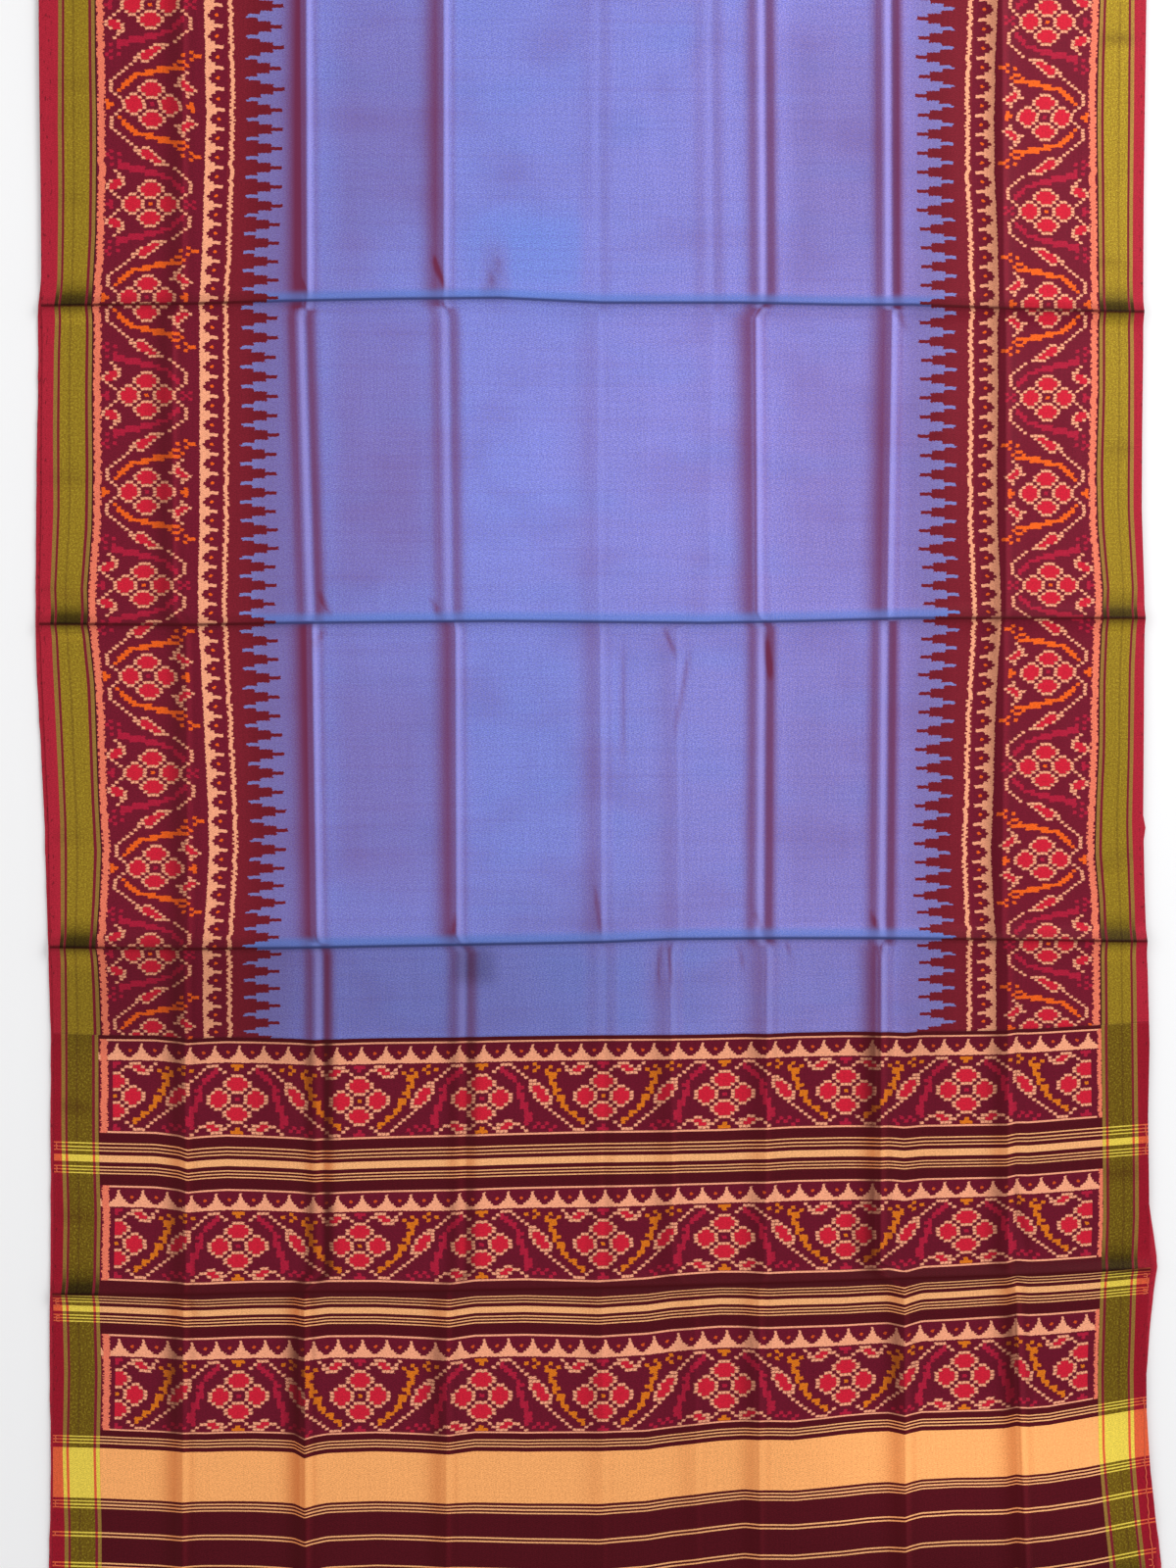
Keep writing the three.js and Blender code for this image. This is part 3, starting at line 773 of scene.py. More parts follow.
def turn_rows(points, uvs, marks, faces, width):
    """Carries the first row on round the layers below, a quarter turn down."""
    edge = list(range(width))
    before = edge
    for step in range(1, TURN_STEPS + 1):
        angle = math.pi / 2 * step / TURN_STEPS
        now = []
        for index in edge:
            x, y, z = points[index]
            u, v = uvs[index]
            drop = (z - TURN_FOOT * MM) * (1 - math.cos(angle))
            points.append((x, y + TURN_RADIUS * MM * math.sin(angle), z - drop))
            uvs.append((u, v - TURN_RADIUS * angle))
            marks.append((marks[index][0] + TURN_RADIUS * angle, *marks[index][1:]))
            now.append(len(points) - 1)
        for column in range(width - 1):
            faces.append((now[column], before[column], before[column + 1], now[column + 1]))
        before = now


# The pattern's places as a UV map: the millimetres in its unit, and how many are added to v to keep it above 0
UV_SPAN = 2000.0
V_START = 200.0


def place_object(name, data):
    """A new object in the scene."""
    made = bpy.data.objects.new(name, data)
    bpy.context.scene.collection.objects.link(made)
    return made


def shade_smooth(piece):
    piece.data.polygons.foreach_set("use_smooth", [True] * len(piece.data.polygons))


def finish_grid(name, points, uvs, marks, faces):
    """Makes the object, with the pattern's places as its UV map and the creases as attributes: the distances
    to the folds, the painted light and shade, and the lean that the painted shade on the metal thread follows.
    """
    mesh = bpy.data.meshes.new(name)
    mesh.from_pydata(points, [], faces)
    mesh.update()
    layer = mesh.uv_layers.new(name="Cloth")
    for loop in mesh.loops:
        u, v = uvs[loop.vertex_index]
        layer.data[loop.index].uv = (u / UV_SPAN, (v + V_START) / UV_SPAN)
    for column, label in enumerate(MARKS):
        values = mesh.attributes.new(label, "FLOAT", "POINT")
        values.data.foreach_set("value", [mark[column] for mark in marks])
    # The lean along the cloth, from the points' normals, sets the painted shade on the metal thread
    leans = mesh.attributes.new("lean_along", "FLOAT", "POINT")
    leans.data.foreach_set("value", [vertex.normal.y for vertex in mesh.vertices])
    return place_object(name, mesh)


def give_thickness(piece):
    """Closes the sheet downwards into a thin shell."""
    wall = piece.modifiers.new("Thickness", "SOLIDIFY")
    wall.thickness = sizes().thickness
    wall.offset = -1
    wall.use_rim = True
    wall.use_even_offset = False
    apply_modifiers(piece)
    shade_smooth(piece)


def apply_modifiers(piece):
    """Puts the modifiers' result in the mesh and takes them off."""
    depsgraph = bpy.context.evaluated_depsgraph_get()
    result = bpy.data.meshes.new_from_object(piece.evaluated_get(depsgraph), preserve_all_data_layers=True,
                                             depsgraph=depsgraph)
    old = piece.data
    piece.modifiers.clear()
    piece.data = result
    result.name = piece.name
    if old.users == 0:
        bpy.data.meshes.remove(old)


# Materials

class Loom:
    """Adds nodes to one tree and joins them. A value is a number, a colour or another node's socket."""

    def __init__(self, tree):
        self.tree = tree
        self.count = 0

    def add(self, kind, feeds=(), **settings):
        """A new node, set out in rows, with its settings and then its inputs."""
        node = self.tree.nodes.new(kind)
        row, column = divmod(self.count, 30)
        node.location = (180 * column, -260 * row)
        self.count += 1
        for name, value in settings.items():
            setattr(node, name, value)
        for key, value in feeds:
            self.feed(node.inputs[key], value)
        return node

    def feed(self, socket, value):
        if isinstance(value, bpy.types.NodeSocket):
            self.tree.links.new(value, socket)
        else:
            socket.default_value = value

    def calc(self, operation, *values, clamp=False):
        """One step of arithmetic."""
        node = self.add("ShaderNodeMath", operation=operation, use_clamp=clamp)
        for socket, value in zip(node.inputs, values):
            self.feed(socket, value)
        return node.outputs[0]

    def mix(self, share, first, second, blend="MIX"):
        """The first colour at share 0, and the second at share 1."""
        node = self.add("ShaderNodeMix", data_type="RGBA", blend_type=blend)
        self.feed(node.inputs[0], share)
        self.feed(node.inputs[6], first)
        self.feed(node.inputs[7], second)
        return node.outputs[2]

    def remap(self, value, low, high, to_low=0.0, to_high=1.0, smooth=False):
        """The value from low to high, brought to to_low to to_high and held at both ends."""
        node = self.add("ShaderNodeMapRange", interpolation_type="SMOOTHSTEP" if smooth else "LINEAR")
        for key, item in enumerate((value, low, high, to_low, to_high)):
            self.feed(node.inputs[key], item)
        return node.outputs[0]

    def between(self, value, low, high):
        """1 from low to high, otherwise 0."""
        return self.calc("MULTIPLY", self.calc("GREATER_THAN", value, low),
                         self.calc("LESS_THAN", value, high))

    def ramp(self, value, stops):
        """A ramp of flat steps: each stop is where its step starts, and its colour."""
        node = self.add("ShaderNodeValToRGB")
        node.color_ramp.interpolation = "CONSTANT"
        elements = node.color_ramp.elements
        while len(elements) > 1:
            elements.remove(elements[-1])
        elements[0].position, elements[0].color = stops[0]
        for position, color in stops[1:]:
            elements.new(position).color = color
        self.feed(node.inputs[0], value)
        return node.outputs[0]

    def scale(self, color, factor):
        """A colour times a number."""
        return self.add("ShaderNodeVectorMath", [(0, color), ("Scale", factor)], operation="SCALE").outputs[0]

    def noise(self, across, along, stretch, detail):
        """Soft chance patches over the cloth. stretch says how many there are to a millimetre, across and
        along."""
        place = self.add("ShaderNodeCombineXYZ", [(0, self.calc("MULTIPLY", across, stretch[0])),
                                                  (1, self.calc("MULTIPLY", along, stretch[1]))])
        feeds = [("Vector", place.outputs[0]), ("Scale", 1.0), ("Detail", detail)]
        return self.add("ShaderNodeTexNoise", feeds, noise_dimensions="2D").outputs["Fac"]

    def chance(self, whole):
        """A chance value, 0 to 1, for each whole number."""
        return self.add("ShaderNodeTexWhiteNoise", [("W", whole)], noise_dimensions="1D").outputs["Value"]

    def group(self, tree, feeds=()):
        return self.add("ShaderNodeGroup", feeds, node_tree=tree)


def new_group(name, inputs, outputs):
    """A shader group with its sockets, and the loom, the inputs and the output node to build it with."""
    tree = bpy.data.node_groups.new(name, "ShaderNodeTree")
    for label, default in inputs:
        kind = "NodeSocketColor" if isinstance(default, tuple) else "NodeSocketFloat"
        socket = tree.interface.new_socket(label, in_out="INPUT", socket_type=kind)
        socket.default_value = default
    for label, kind in outputs:
        tree.interface.new_socket(label, in_out="OUTPUT", socket_type=f"NodeSocket{kind}")
    loom = Loom(tree)
    given = loom.add("NodeGroupInput")
    out = loom.add("NodeGroupOutput")
    return tree, loom, given.outputs, out


# For each direction: the place's input, the other direction's, its spread's, the threads' pitch and a seed
FEATHERS = ((0, 1, 2, 1.15, 3.7), (1, 0, 3, 1.35, 9.1))


def feather_group():
    """Moves a place on the cloth by a small chance amount for each thread, as tied and dyed threads do."""
    tree, loom, given, out = new_group(
        "Ikat feather", [("Across", 0.0), ("Along", 0.0), ("Across spread", 0.8), ("Along spread", 0.5)],
        [("Across", "Float"), ("Along", "Float")])
    for place, other, spread, pitch, seed in FEATHERS:
        thread = loom.calc("FLOOR", loom.calc("DIVIDE", given[other], pitch))
        chance = loom.chance(loom.calc("ADD", thread, seed))
        offset = loom.calc("MULTIPLY", loom.calc("SUBTRACT", chance, 0.5),
                           loom.calc("MULTIPLY", given[spread], 2.0))
        loom.feed(out.inputs[place], loom.calc("ADD", given[place], offset))
    return tree


CHANNELS = 3
LAST_LETTER = len(LETTERS) - 1


def chart_group(name, chart):
    """Looks a chart up. Column and Row are 0 to 1 over the chart, from its first letter and its first line,
    and Kind is the letter's place in LETTERS, 0 to 1. One ramp holds three lines, one in each channel."""
    tree, loom, given, out = new_group(name, [("Column", 0.0), ("Row", 0.0)], [("Kind", "Float")])
    line_count, width = len(chart), len(chart[0])
    line = loom.calc("FLOOR", loom.calc("MULTIPLY", given[1], float(line_count)))
    third = loom.calc("FLOOR", loom.calc("DIVIDE", loom.calc("ADD", line, 0.5), float(CHANNELS)))
    part = loom.calc("SUBTRACT", line, loom.calc("MULTIPLY", third, float(CHANNELS)))
    picks = loom.add("ShaderNodeCombineXYZ", [(channel, loom.calc("COMPARE", part, float(channel), 0.4))
                                              for channel in range(CHANNELS)])
    total = 0.0
    for first in range(0, line_count, CHANNELS):
        lines = chart[first:first + CHANNELS] + ["." * width] * (first + CHANNELS - line_count)
        stops, before = [], None
        for column in range(width):
            color = (*(LETTERS.index(text[column]) / LAST_LETTER for text in lines[:CHANNELS]), 1.0)
            if color != before:
                stops.append((column / width, color))
            before = color
        found = loom.add("ShaderNodeVectorMath", [(0, loom.ramp(given[0], stops)), (1, picks.outputs[0])],
                         operation="DOT_PRODUCT")
        here = loom.calc("COMPARE", third, float(first // CHANNELS), 0.4)
        total = loom.calc("MULTIPLY_ADD", found.outputs["Value"], here, total)
    loom.feed(out.inputs[0], total)
    return tree


def transposed(chart):
    """The chart with its lines as columns."""
    return ["".join(line[column] for line in chart) for column in range(len(chart[0]))]


def comb_group(name, steps, dot):
    """A comb of stepped teeth. Along is the place along it, Depth how far from its back towards its tips.
    steps gives where each step starts over a tooth's width, and its height. dot gives the spot between two
    teeth: its middle and its half size, along and up. Peach is the comb, Dots the spots."""
    tree, loom, given, out = new_group(
        name, [("Along", 0.0), ("Depth", 0.0), ("Pitch", 20.0), ("Height", 20.0)],
        [("Peach", "Float"), ("Dots", "Float")])
    turn = loom.calc("FRACT", loom.calc("ADD", loom.calc("DIVIDE", given["Along"], given["Pitch"]), 0.5))
    tall = loom.ramp(turn, [(start, (height, height, height, 1)) for start, height in steps])
    limit = loom.calc("MULTIPLY", tall, given["Height"])
    loom.feed(out.inputs["Peach"], loom.between(given["Depth"], 0.0, limit))
    share = loom.calc("DIVIDE", given["Depth"], given["Height"])
    away = loom.calc("PINGPONG", loom.calc("SUBTRACT", turn, dot[0]), 0.5)
    side = loom.calc("DIVIDE", away, dot[2])
    up = loom.calc("DIVIDE", loom.calc("SUBTRACT", share, dot[1]), dot[3])
    round_dot = loom.calc("ADD", loom.calc("MULTIPLY", side, side), loom.calc("MULTIPLY", up, up))
    loom.feed(out.inputs["Dots"], loom.calc("LESS_THAN", round_dot, 1.0))
    return tree


# The twill: half a zigzag's width, its slope, and how many of its lines there are to one rib. Then the stretch
# of the uneven wefts, warps and grain
ZIGZAG_HALF = 6.5
ZIGZAG_SLOPE = 0.55
ZIGZAG_RATE = 0.56
STREAKS = ((0.02, 0.7), (0.35, 0.012), (0.62, 0.62))


def weave_group():
    """The ribs and the uneven threads of the silk. Height feeds a bump, Shade multiplies a colour."""
    tree, loom, given, out = new_group(
        "Silk weave", [("Across", 0.0), ("Along", 0.0), ("Pitch", 1.2), ("Contrast", 0.1)],
        [("Height", "Float"), ("Shade", "Float")])
    turn = loom.calc("DIVIDE", 2 * math.pi, given["Pitch"])
    warp = loom.calc("SINE", loom.calc("MULTIPLY", given["Across"], turn))
    weft = loom.calc("SINE", loom.calc("MULTIPLY", given["Along"], turn))
    zigzag = loom.calc("MULTIPLY", loom.calc("PINGPONG", given["Across"], ZIGZAG_HALF), ZIGZAG_SLOPE)
    zigzag = loom.calc("ADD", given["Along"], zigzag)
    slant = loom.calc("SINE", loom.calc("MULTIPLY", zigzag, loom.calc("MULTIPLY", turn, ZIGZAG_RATE)))
    streaks = [loom.noise(given["Across"], given["Along"], stretch, 2.0) for stretch in STREAKS]
    both = loom.calc("ADD", streaks[0], streaks[1])
    ribs = loom.calc("ADD", loom.calc("MULTIPLY", warp, weft), slant)
    loom.feed(out.inputs["Height"], loom.calc("ADD", loom.calc("MULTIPLY", ribs, 0.2), both))
    grain = loom.calc("SUBTRACT", streaks[2], 0.5)
    uneven = loom.calc("ADD", loom.calc("MULTIPLY", loom.calc("SUBTRACT", both, 1.0), 0.6),
                       loom.calc("MULTIPLY_ADD", grain, 3.6, loom.calc("MULTIPLY", slant, 0.4)))
    loom.feed(out.inputs["Shade"], loom.calc("MULTIPLY_ADD", uneven, given["Contrast"], 1.0))
    return tree


# Gaps between the dyed bundles and picks: from where in a thread's half to where, and how open
GAPS = (("Bundle", 0.28, 0.46, 0.9), ("Pick", 0.34, 0.48, 0.7))


def palette_group():
    """The colour of a chart's kind of thread over its ground. The ground shows between the pale bundles."""
    tree, loom, given, out = new_group(
        "Dyed threads", [("Kind", 0.0), ("Bundle", 0.5), ("Pick", 0.5), ("Ground", (0.1, 0.0, 0.0, 1.0)),
                         ("Orange", (0.8, 0.1, 0.0, 1.0))], [("Color", "Color")])
    dyed = loom.ramp(given["Kind"], [(0.0, dye("peach")), (0.375, dye("red")), (0.625, dye("crimson"))])
    dyed = loom.mix(loom.calc("GREATER_THAN", given["Kind"], 0.875), dyed, given["Orange"])
    gaps = [loom.remap(loom.calc("ABSOLUTE", loom.calc("SUBTRACT", loom.calc("FRACT", given[name]), 0.5)),
                       low, high, 0.0, most) for name, low, high, most in GAPS]
    between = loom.calc("MAXIMUM", *gaps)
    pale = loom.between(given["Kind"], 0.12, 0.375)
    some = loom.calc("GREATER_THAN", given["Kind"], 0.12)
    some = loom.calc("SUBTRACT", some, loom.calc("MULTIPLY", pale, between))
    loom.feed(out.inputs["Color"], loom.mix(some, given["Ground"], dyed))
    return tree


# By the distance from the selvedge: where its small dark marks end, the olive band, the thin metal lines, and
# the dark thread in the band's middle
NICKS_WIDTH = 12.0
OLIVE_BAND = (24.8, 50.0)
METAL_LINES = ((CRIMSON_WIDTH, 22.2), (52.6, 56.4))
OLIVE_MIDDLE = 34.4


def warp_group():
    """The warps near a selvedge: their colours by the distance from it, with small dark marks along the edge,
    and a mask of the metal thread."""
    tree, loom, given, out = new_group(
        "Selvedge warps", [("Distance", 0.0), ("Along", 0.0), ("Olive", (0.3, 0.2, 0.05, 1.0)),
                           ("Selvedge", (0.4, 0.02, 0.03, 1.0))],
        [("Color", "Color"), ("Metal", "Float")])
    span = WARP_STRIPES[-1][0]
    share = loom.calc("DIVIDE", given["Distance"], span, clamp=True)
    stops = [(start / span, dye(name)) for start, name in WARP_STRIPES[:-1]]
    color = loom.ramp(share, stops)
    edge = loom.calc("LESS_THAN", given["Distance"], CRIMSON_WIDTH)
    color = loom.mix(edge, color, given["Selvedge"])
    nicks = loom.noise(given["Distance"], given["Along"], (0.4, 0.13), 1.0)
    nick = loom.calc("MULTIPLY", loom.remap(nicks, 0.68, 0.74, 0.0, 0.55),
                     loom.calc("LESS_THAN", given["Distance"], NICKS_WIDTH))
    color = loom.mix(nick, color, dye("dark"))
    wide = loom.between(given["Distance"], *OLIVE_BAND)
    thin = loom.calc("ADD", *[loom.between(given["Distance"], *line) for line in METAL_LINES])
    metal = loom.calc("ADD", wide, thin)
    patches = loom.noise(given["Distance"], given["Along"], (0.55, 0.45), 4.0)
    mottled = loom.mix(loom.remap(patches, 0.35, 0.65, 0.28, 0.0), given["Olive"], dye("dark"))
    mottled = loom.mix(loom.remap(patches, 0.52, 0.72, 0.0, 0.32), mottled, dye("fleck"))
    away = loom.calc("ABSOLUTE", loom.calc("SUBTRACT", given["Distance"], OLIVE_MIDDLE))
    mottled = loom.mix(loom.remap(away, 0.6, 1.6, 0.28, 0.0), mottled, dye("dark"))
    loom.feed(out.inputs["Color"], loom.mix(wide, color, mottled))
    loom.feed(out.inputs["Metal"], metal)
    return tree


def mark_value(loom, name):
    """A value stored at the cloth's points."""
    return loom.add("ShaderNodeAttribute", attribute_name=name, attribute_type="GEOMETRY").outputs["Fac"]


def crease_group():
    """Painted light and shade of shot silk on a crease: painted shade in the warp's colour beside it, a
    painted highlight on its crest, and at a crosswise fold a painted shadow as a thin dark line with a painted
    bluer sheen before it. Metal thread gets painted shade towards a fold and where it leans away, and the
    painted light and shade of the soft patches scales the whole colour."""
    tree, loom, given, out = new_group(
        "Crease sheen", [("Color", (0.5, 0.5, 0.5, 1.0)), ("Flank", (0.3, 0.05, 0.1, 1.0)),
                         ("Crest", (0.6, 0.6, 0.9, 1.0)), ("Fold", (0.3, 0.5, 0.9, 1.0)),
                         ("Line", (0.05, 0.0, 0.02, 1.0)), ("Flank share", 0.8), ("Crest share", 0.4),
                         ("Fold share", 0.6), ("Metal", 0.0)],
        [("Color", "Color")])
    before, after = mark_value(loom, "before_fold"), mark_value(loom, "after_fold")
    # Painted shade in the red warp's colour beside the creases and wrinkles, and in the soft patches
    wine = loom.calc("MULTIPLY", mark_value(loom, "wine"), given["Flank share"], clamp=True)
    color = loom.mix(wine, given["Color"], given["Flank"])
    # Painted highlight on the crests of the creases
    crest = loom.calc("MULTIPLY", mark_value(loom, "crest"), given["Crest share"], clamp=True)
    color = loom.mix(crest, color, given["Crest"])
    # Painted sheen: a bluer strip before each crosswise fold
    fold_sheen_share = loom.remap(before, 14.0, 5.0, 0.0, 1.0, smooth=True)
    color = loom.mix(loom.calc("MULTIPLY", fold_sheen_share, given["Fold share"]), color, given["Fold"])
    # Painted shadow: a thin dark line in each crosswise fold, with a softer painted shadow around it
    nearest = loom.calc("MINIMUM", before, after)
    line = loom.remap(nearest, 0.9, 2.4, 0.85, 0.0)
    soft_shadow = loom.remap(loom.calc("MINIMUM", loom.calc("MULTIPLY", before, 1.6), after), 0.0, 7.0, 0.42, 0.0,
                      smooth=True)
    color = loom.mix(loom.calc("MAXIMUM", line, soft_shadow), color, given["Line"])
    # Painted shade on the metal thread: darker where it leans away and towards a crosswise fold
    lean_shade = loom.remap(mark_value(loom, "lean_along"), -0.10, 0.30, 1.12, 0.45)
    metal_shade = loom.calc("MULTIPLY", loom.remap(before, 36.0, 0.0, 1.0, 0.38, smooth=True),
                     loom.remap(after, 14.0, 0.0, 1.0, 0.55, smooth=True))
    metal_shade = loom.mix(given["Metal"], (1.0, 1.0, 1.0, 1.0), loom.calc("MULTIPLY", metal_shade, lean_shade))
    # Painted light and shade of the soft patches, as a factor on the whole colour
    light = loom.calc("ADD", mark_value(loom, "light"), 1.0)
    color = loom.scale(loom.mix(1.0, color, metal_shade, blend="MULTIPLY"), light)
    loom.feed(out.inputs["Color"], color)
    return tree


GROUPS = {}


def shared_groups():
    """The node groups that the materials share, built once."""
    if not GROUPS:
        GROUPS["feather"] = feather_group()
        GROUPS["border"] = chart_group("Border figures", transposed(BORDER_CHART))
        GROUPS["pallu"] = chart_group("End panel figures", PALLU_CHART)
        GROUPS["side comb"] = comb_group("Side comb", SIDE_TOOTH, (0.0, 0.68, 0.082, 0.10))
        GROUPS["end comb"] = comb_group("End comb", END_TOOTH, (0.03, 0.60, 0.072, 0.09))
        GROUPS["weave"] = weave_group()
        GROUPS["palette"] = palette_group()
        GROUPS["warps"] = warp_group()
        GROUPS["crease"] = crease_group()
    return GROUPS


def cloth_places(loom):
    """The pattern's millimetres across and along, and the distance from the nearer selvedge."""
    uv = loom.add("ShaderNodeUVMap", uv_map="Cloth")
    parts = loom.add("ShaderNodeSeparateXYZ", [(0, uv.outputs[0])])
    u = loom.calc("MULTIPLY", parts.outputs[0], UV_SPAN)
    v = loom.calc("SUBTRACT", loom.calc("MULTIPLY", parts.outputs[1], UV_SPAN), V_START)
    distance = loom.calc("MINIMUM", u, loom.calc("SUBTRACT", PATTERN_WIDTH, u))
    return u, v, distance


def feathered(loom, across, along, across_spread, along_spread):
    """A place moved by the threads' chance amounts."""
    node = loom.group(shared_groups()["feather"], [("Across", across), ("Along", along),
                                                   ("Across spread", across_spread),
                                                   ("Along spread", along_spread)])
    return node.outputs["Across"], node.outputs["Along"]


def dyed_figures(loom, chart, column, row, bundle, pick, ground, orange):
    """The colour of a chart's figures, tied and dyed on their ground."""
    kind = loom.group(shared_groups()[chart], [("Column", column), ("Row", row)])
    feeds = [("Kind", kind.outputs[0]), ("Ground", dye(ground)), ("Bundle", bundle), ("Pick", pick),
             ("Orange", dye(orange))]
    return loom.group(shared_groups()["palette"], feeds).outputs[0]


def selvedge_warps(loom, color, distance, v, olive, selvedge, width):
    """The pattern's colour with the warps along its selvedge laid over it, a mask of their metal thread, and
    the same mask before it is cut to their width."""
    warps = loom.group(shared_groups()["warps"], [("Distance", distance), ("Along", v), ("Olive", dye(olive)),
                                                  ("Selvedge", dye(selvedge))])
    beside = loom.calc("LESS_THAN", distance, width)
    metal = warps.outputs["Metal"]
    return loom.mix(beside, color, warps.outputs["Color"]), loom.calc("MULTIPLY", beside, metal), metal


# The border's meander: half its length, and where along the cloth one starts. Then the pitch of the teeth,
# where across the end panel the flowers start and their pitch, and the steps from end to end of a chart
BORDER_HALF = 101.0
BORDER_PHASE = 303.0
TOOTH_PITCH = BORDER_HALF / 5
FLOWER_START = 72.9
FLOWER_PITCH = (PATTERN_WIDTH - 2 * FLOWER_START) / 8
CHART_STEPS = 30

# The side border in the body, by the distance from the selvedge
BODY_WARPS_WIDTH = 57.8
SALMON_STRIPE = (58.6, 65.4)
BORDER_FIGURES = (66.2, 164.8)
BORDER_CHART_START = 66.0
BORDER_CHART_WIDTH = 99.0
SIDE_COMB = (162.0, 187.0)
SIDE_COMB_HEIGHT = 18.8
GROUND_WIDTH = 187.5
JAGGED_LINE = (189.7, 193.8)
FINGER_EDGE = 205.6
FINGER_REACH = 36.5
FINGER_CHANCE = 4.0
FINGER_STEPS = ((0.0, 0.0), (0.17, 0.33), (0.5, 0.69), (0.82, 1.0))
PALE_FINGERS = (209.0, 262.0)

# The field: where its painted sheen turns it rosy towards the right, and its random patches of tone, as their
# stretch, the noise's low and high, and their dye
SHEEN_FIELD = (430.0, 800.0)
FIELD_PATCHES = (((0.010, 0.014), 0.5, 0.8, "flank"), ((0.004, 0.16), 0.5, 1.1, "flank"),
                 ((0.008, 0.020), 0.5, 0.8, "field_blue"))


def body_color(loom, u, v, distance):
    """The body's pattern: the field, the fingers, the comb, the figures and the selvedge warps."""
    near, along = feathered(loom, distance, v, 0.75, 0.45)
    rough, _ = feathered(loom, distance, loom.calc("MULTIPLY", v, 0.62), 1.5, 0.4)
    # Painted sheen: the field turns rosier towards the lit right side
    sheen_share = loom.remap(u, *SHEEN_FIELD, smooth=True)
    field = loom.mix(sheen_share, dye("field"), dye("field_sheen"))
    # Painted sheen: bluer where the patches' painted red-warp shade is below zero
    field = loom.mix(loom.remap(mark_value(loom, "wine"), 0.0, -0.3, 0.0, 1.0), field, dye("field_blue"))
    for stretch, low, high, tint in FIELD_PATCHES:
        patch = loom.noise(u, v, stretch, 2.0)
        field = loom.mix(loom.remap(patch, low, high, 0.0, 0.22), field, dye(tint))
    threads = loom.noise(u, v, (0.6, 0.6), 3.0)
    field = loom.mix(loom.remap(threads, 0.36, 0.64, 0.0, 0.7), field, dye("field_deep"))
    # fingers of the field that reach into the maroon
    half = TOOTH_PITCH / 2
    turned = loom.calc("ADD", along, BORDER_PHASE + half)
    finger = loom.calc("DIVIDE", loom.calc("PINGPONG", turned, half), half)
    reach = loom.ramp(finger, [(start, (share, share, share, 1)) for start, share in FINGER_STEPS])
    tooth = loom.chance(loom.calc("FLOOR", loom.calc("DIVIDE", turned, TOOTH_PITCH)))
    edge = loom.calc("MULTIPLY_ADD", reach, FINGER_REACH,
                     loom.calc("MULTIPLY_ADD", tooth, FINGER_CHANCE, FINGER_EDGE))
    is_field = loom.calc("GREATER_THAN", near, edge)
    pale = loom.remap(distance, *PALE_FINGERS, 1.0, 0.0)
    field = loom.mix(loom.calc("MULTIPLY", pale, 0.8), field, dye("finger"))
    color = loom.mix(is_field, dye("maroon"), field)
    # the jagged line
    color = loom.mix(loom.between(rough, *JAGGED_LINE), color, dye("peach"))
    # comb
    depth = loom.calc("SUBTRACT", near, COMB_BACK)
    comb = loom.group(shared_groups()["side comb"], [("Along", along), ("Depth", depth),
                                                     ("Pitch", TOOTH_PITCH), ("Height", SIDE_COMB_HEIGHT)])
    in_comb = loom.between(distance, *SIDE_COMB)
    color = loom.mix(loom.calc("LESS_THAN", distance, GROUND_WIDTH), color, dye("ground"))
    color = loom.mix(loom.calc("MULTIPLY", comb.outputs["Peach"], in_comb), color, dye("peach"))
    color = loom.mix(loom.calc("MULTIPLY", comb.outputs["Dots"], in_comb), color, dye("orange"))
    # figures
    span = float(len(BORDER_CHART))
    wave = loom.calc("PINGPONG", loom.calc("SUBTRACT", along, BORDER_PHASE), BORDER_HALF)
    row = loom.calc("DIVIDE", loom.calc("ADD", loom.calc("MULTIPLY", wave, CHART_STEPS / BORDER_HALF), 0.5),
                    span)
    cell = loom.calc("DIVIDE", loom.calc("SUBTRACT", near, BORDER_CHART_START), BORDER_CHART_WIDTH)
    bundle = loom.calc("MULTIPLY", row, span)
    pick = loom.calc("MULTIPLY", cell, float(len(BORDER_CHART[0])))
    figures = dyed_figures(loom, "border", row, cell, bundle, pick, "ground", "orange")
    color = loom.mix(loom.between(near, *BORDER_FIGURES), color, figures)
    # the stripe between the figures and the warps
    color = loom.mix(loom.between(rough, *SALMON_STRIPE), color, dye("salmon"))
    color, metal, _ = selvedge_warps(loom, color, distance, v, "olive", "selvedge", BODY_WARPS_WIDTH)
    return color, metal, is_field


# The end panel's figured bands: where the first starts, then past which v the next one starts, and how much
# further on. In a band, down from its start: its whole height, the comb's back and height, the chart's start
# and height, and the frame's two lines
FIRST_BAND = 1061.2
NEXT_BANDS = ((1184.0, 149.2), (1337.0, 151.6))
FIGURED_BAND = (-0.9, 96.0)
END_COMB_BACK = 20.6
END_COMB_HEIGHT = 17.2
END_COMB_SHIFT = 2.7
END_SPOTS = (3.0, 15.0)
PANEL_FIGURES = (22.3, 93.4)
PANEL_CHART_START = 22.2
PANEL_CHART_HEIGHT = 71.4
FRAME_LINES = (((-0.9, 0.9), 60.0), ((94.1, 95.9), 65.4))

# Across, by the distance from the selvedge: the warps, the figures' edge, the salmon stripe, and how much
# nearer the stripe and the figures start on the right
PANEL_WARPS_WIDTH = 56.6
FIGURES_EDGE = 71.0
PANEL_STRIPE_START = 58.8
PANEL_STRIPE_ENDS = (65.8, 63.0)
RIGHT_STRIPE_SHIFT = 2.4
RIGHT_FIGURES_SHIFT = 3.4
LINES_EDGE = 3.2
WIDE_BAND = (1477.0, 1529.0)


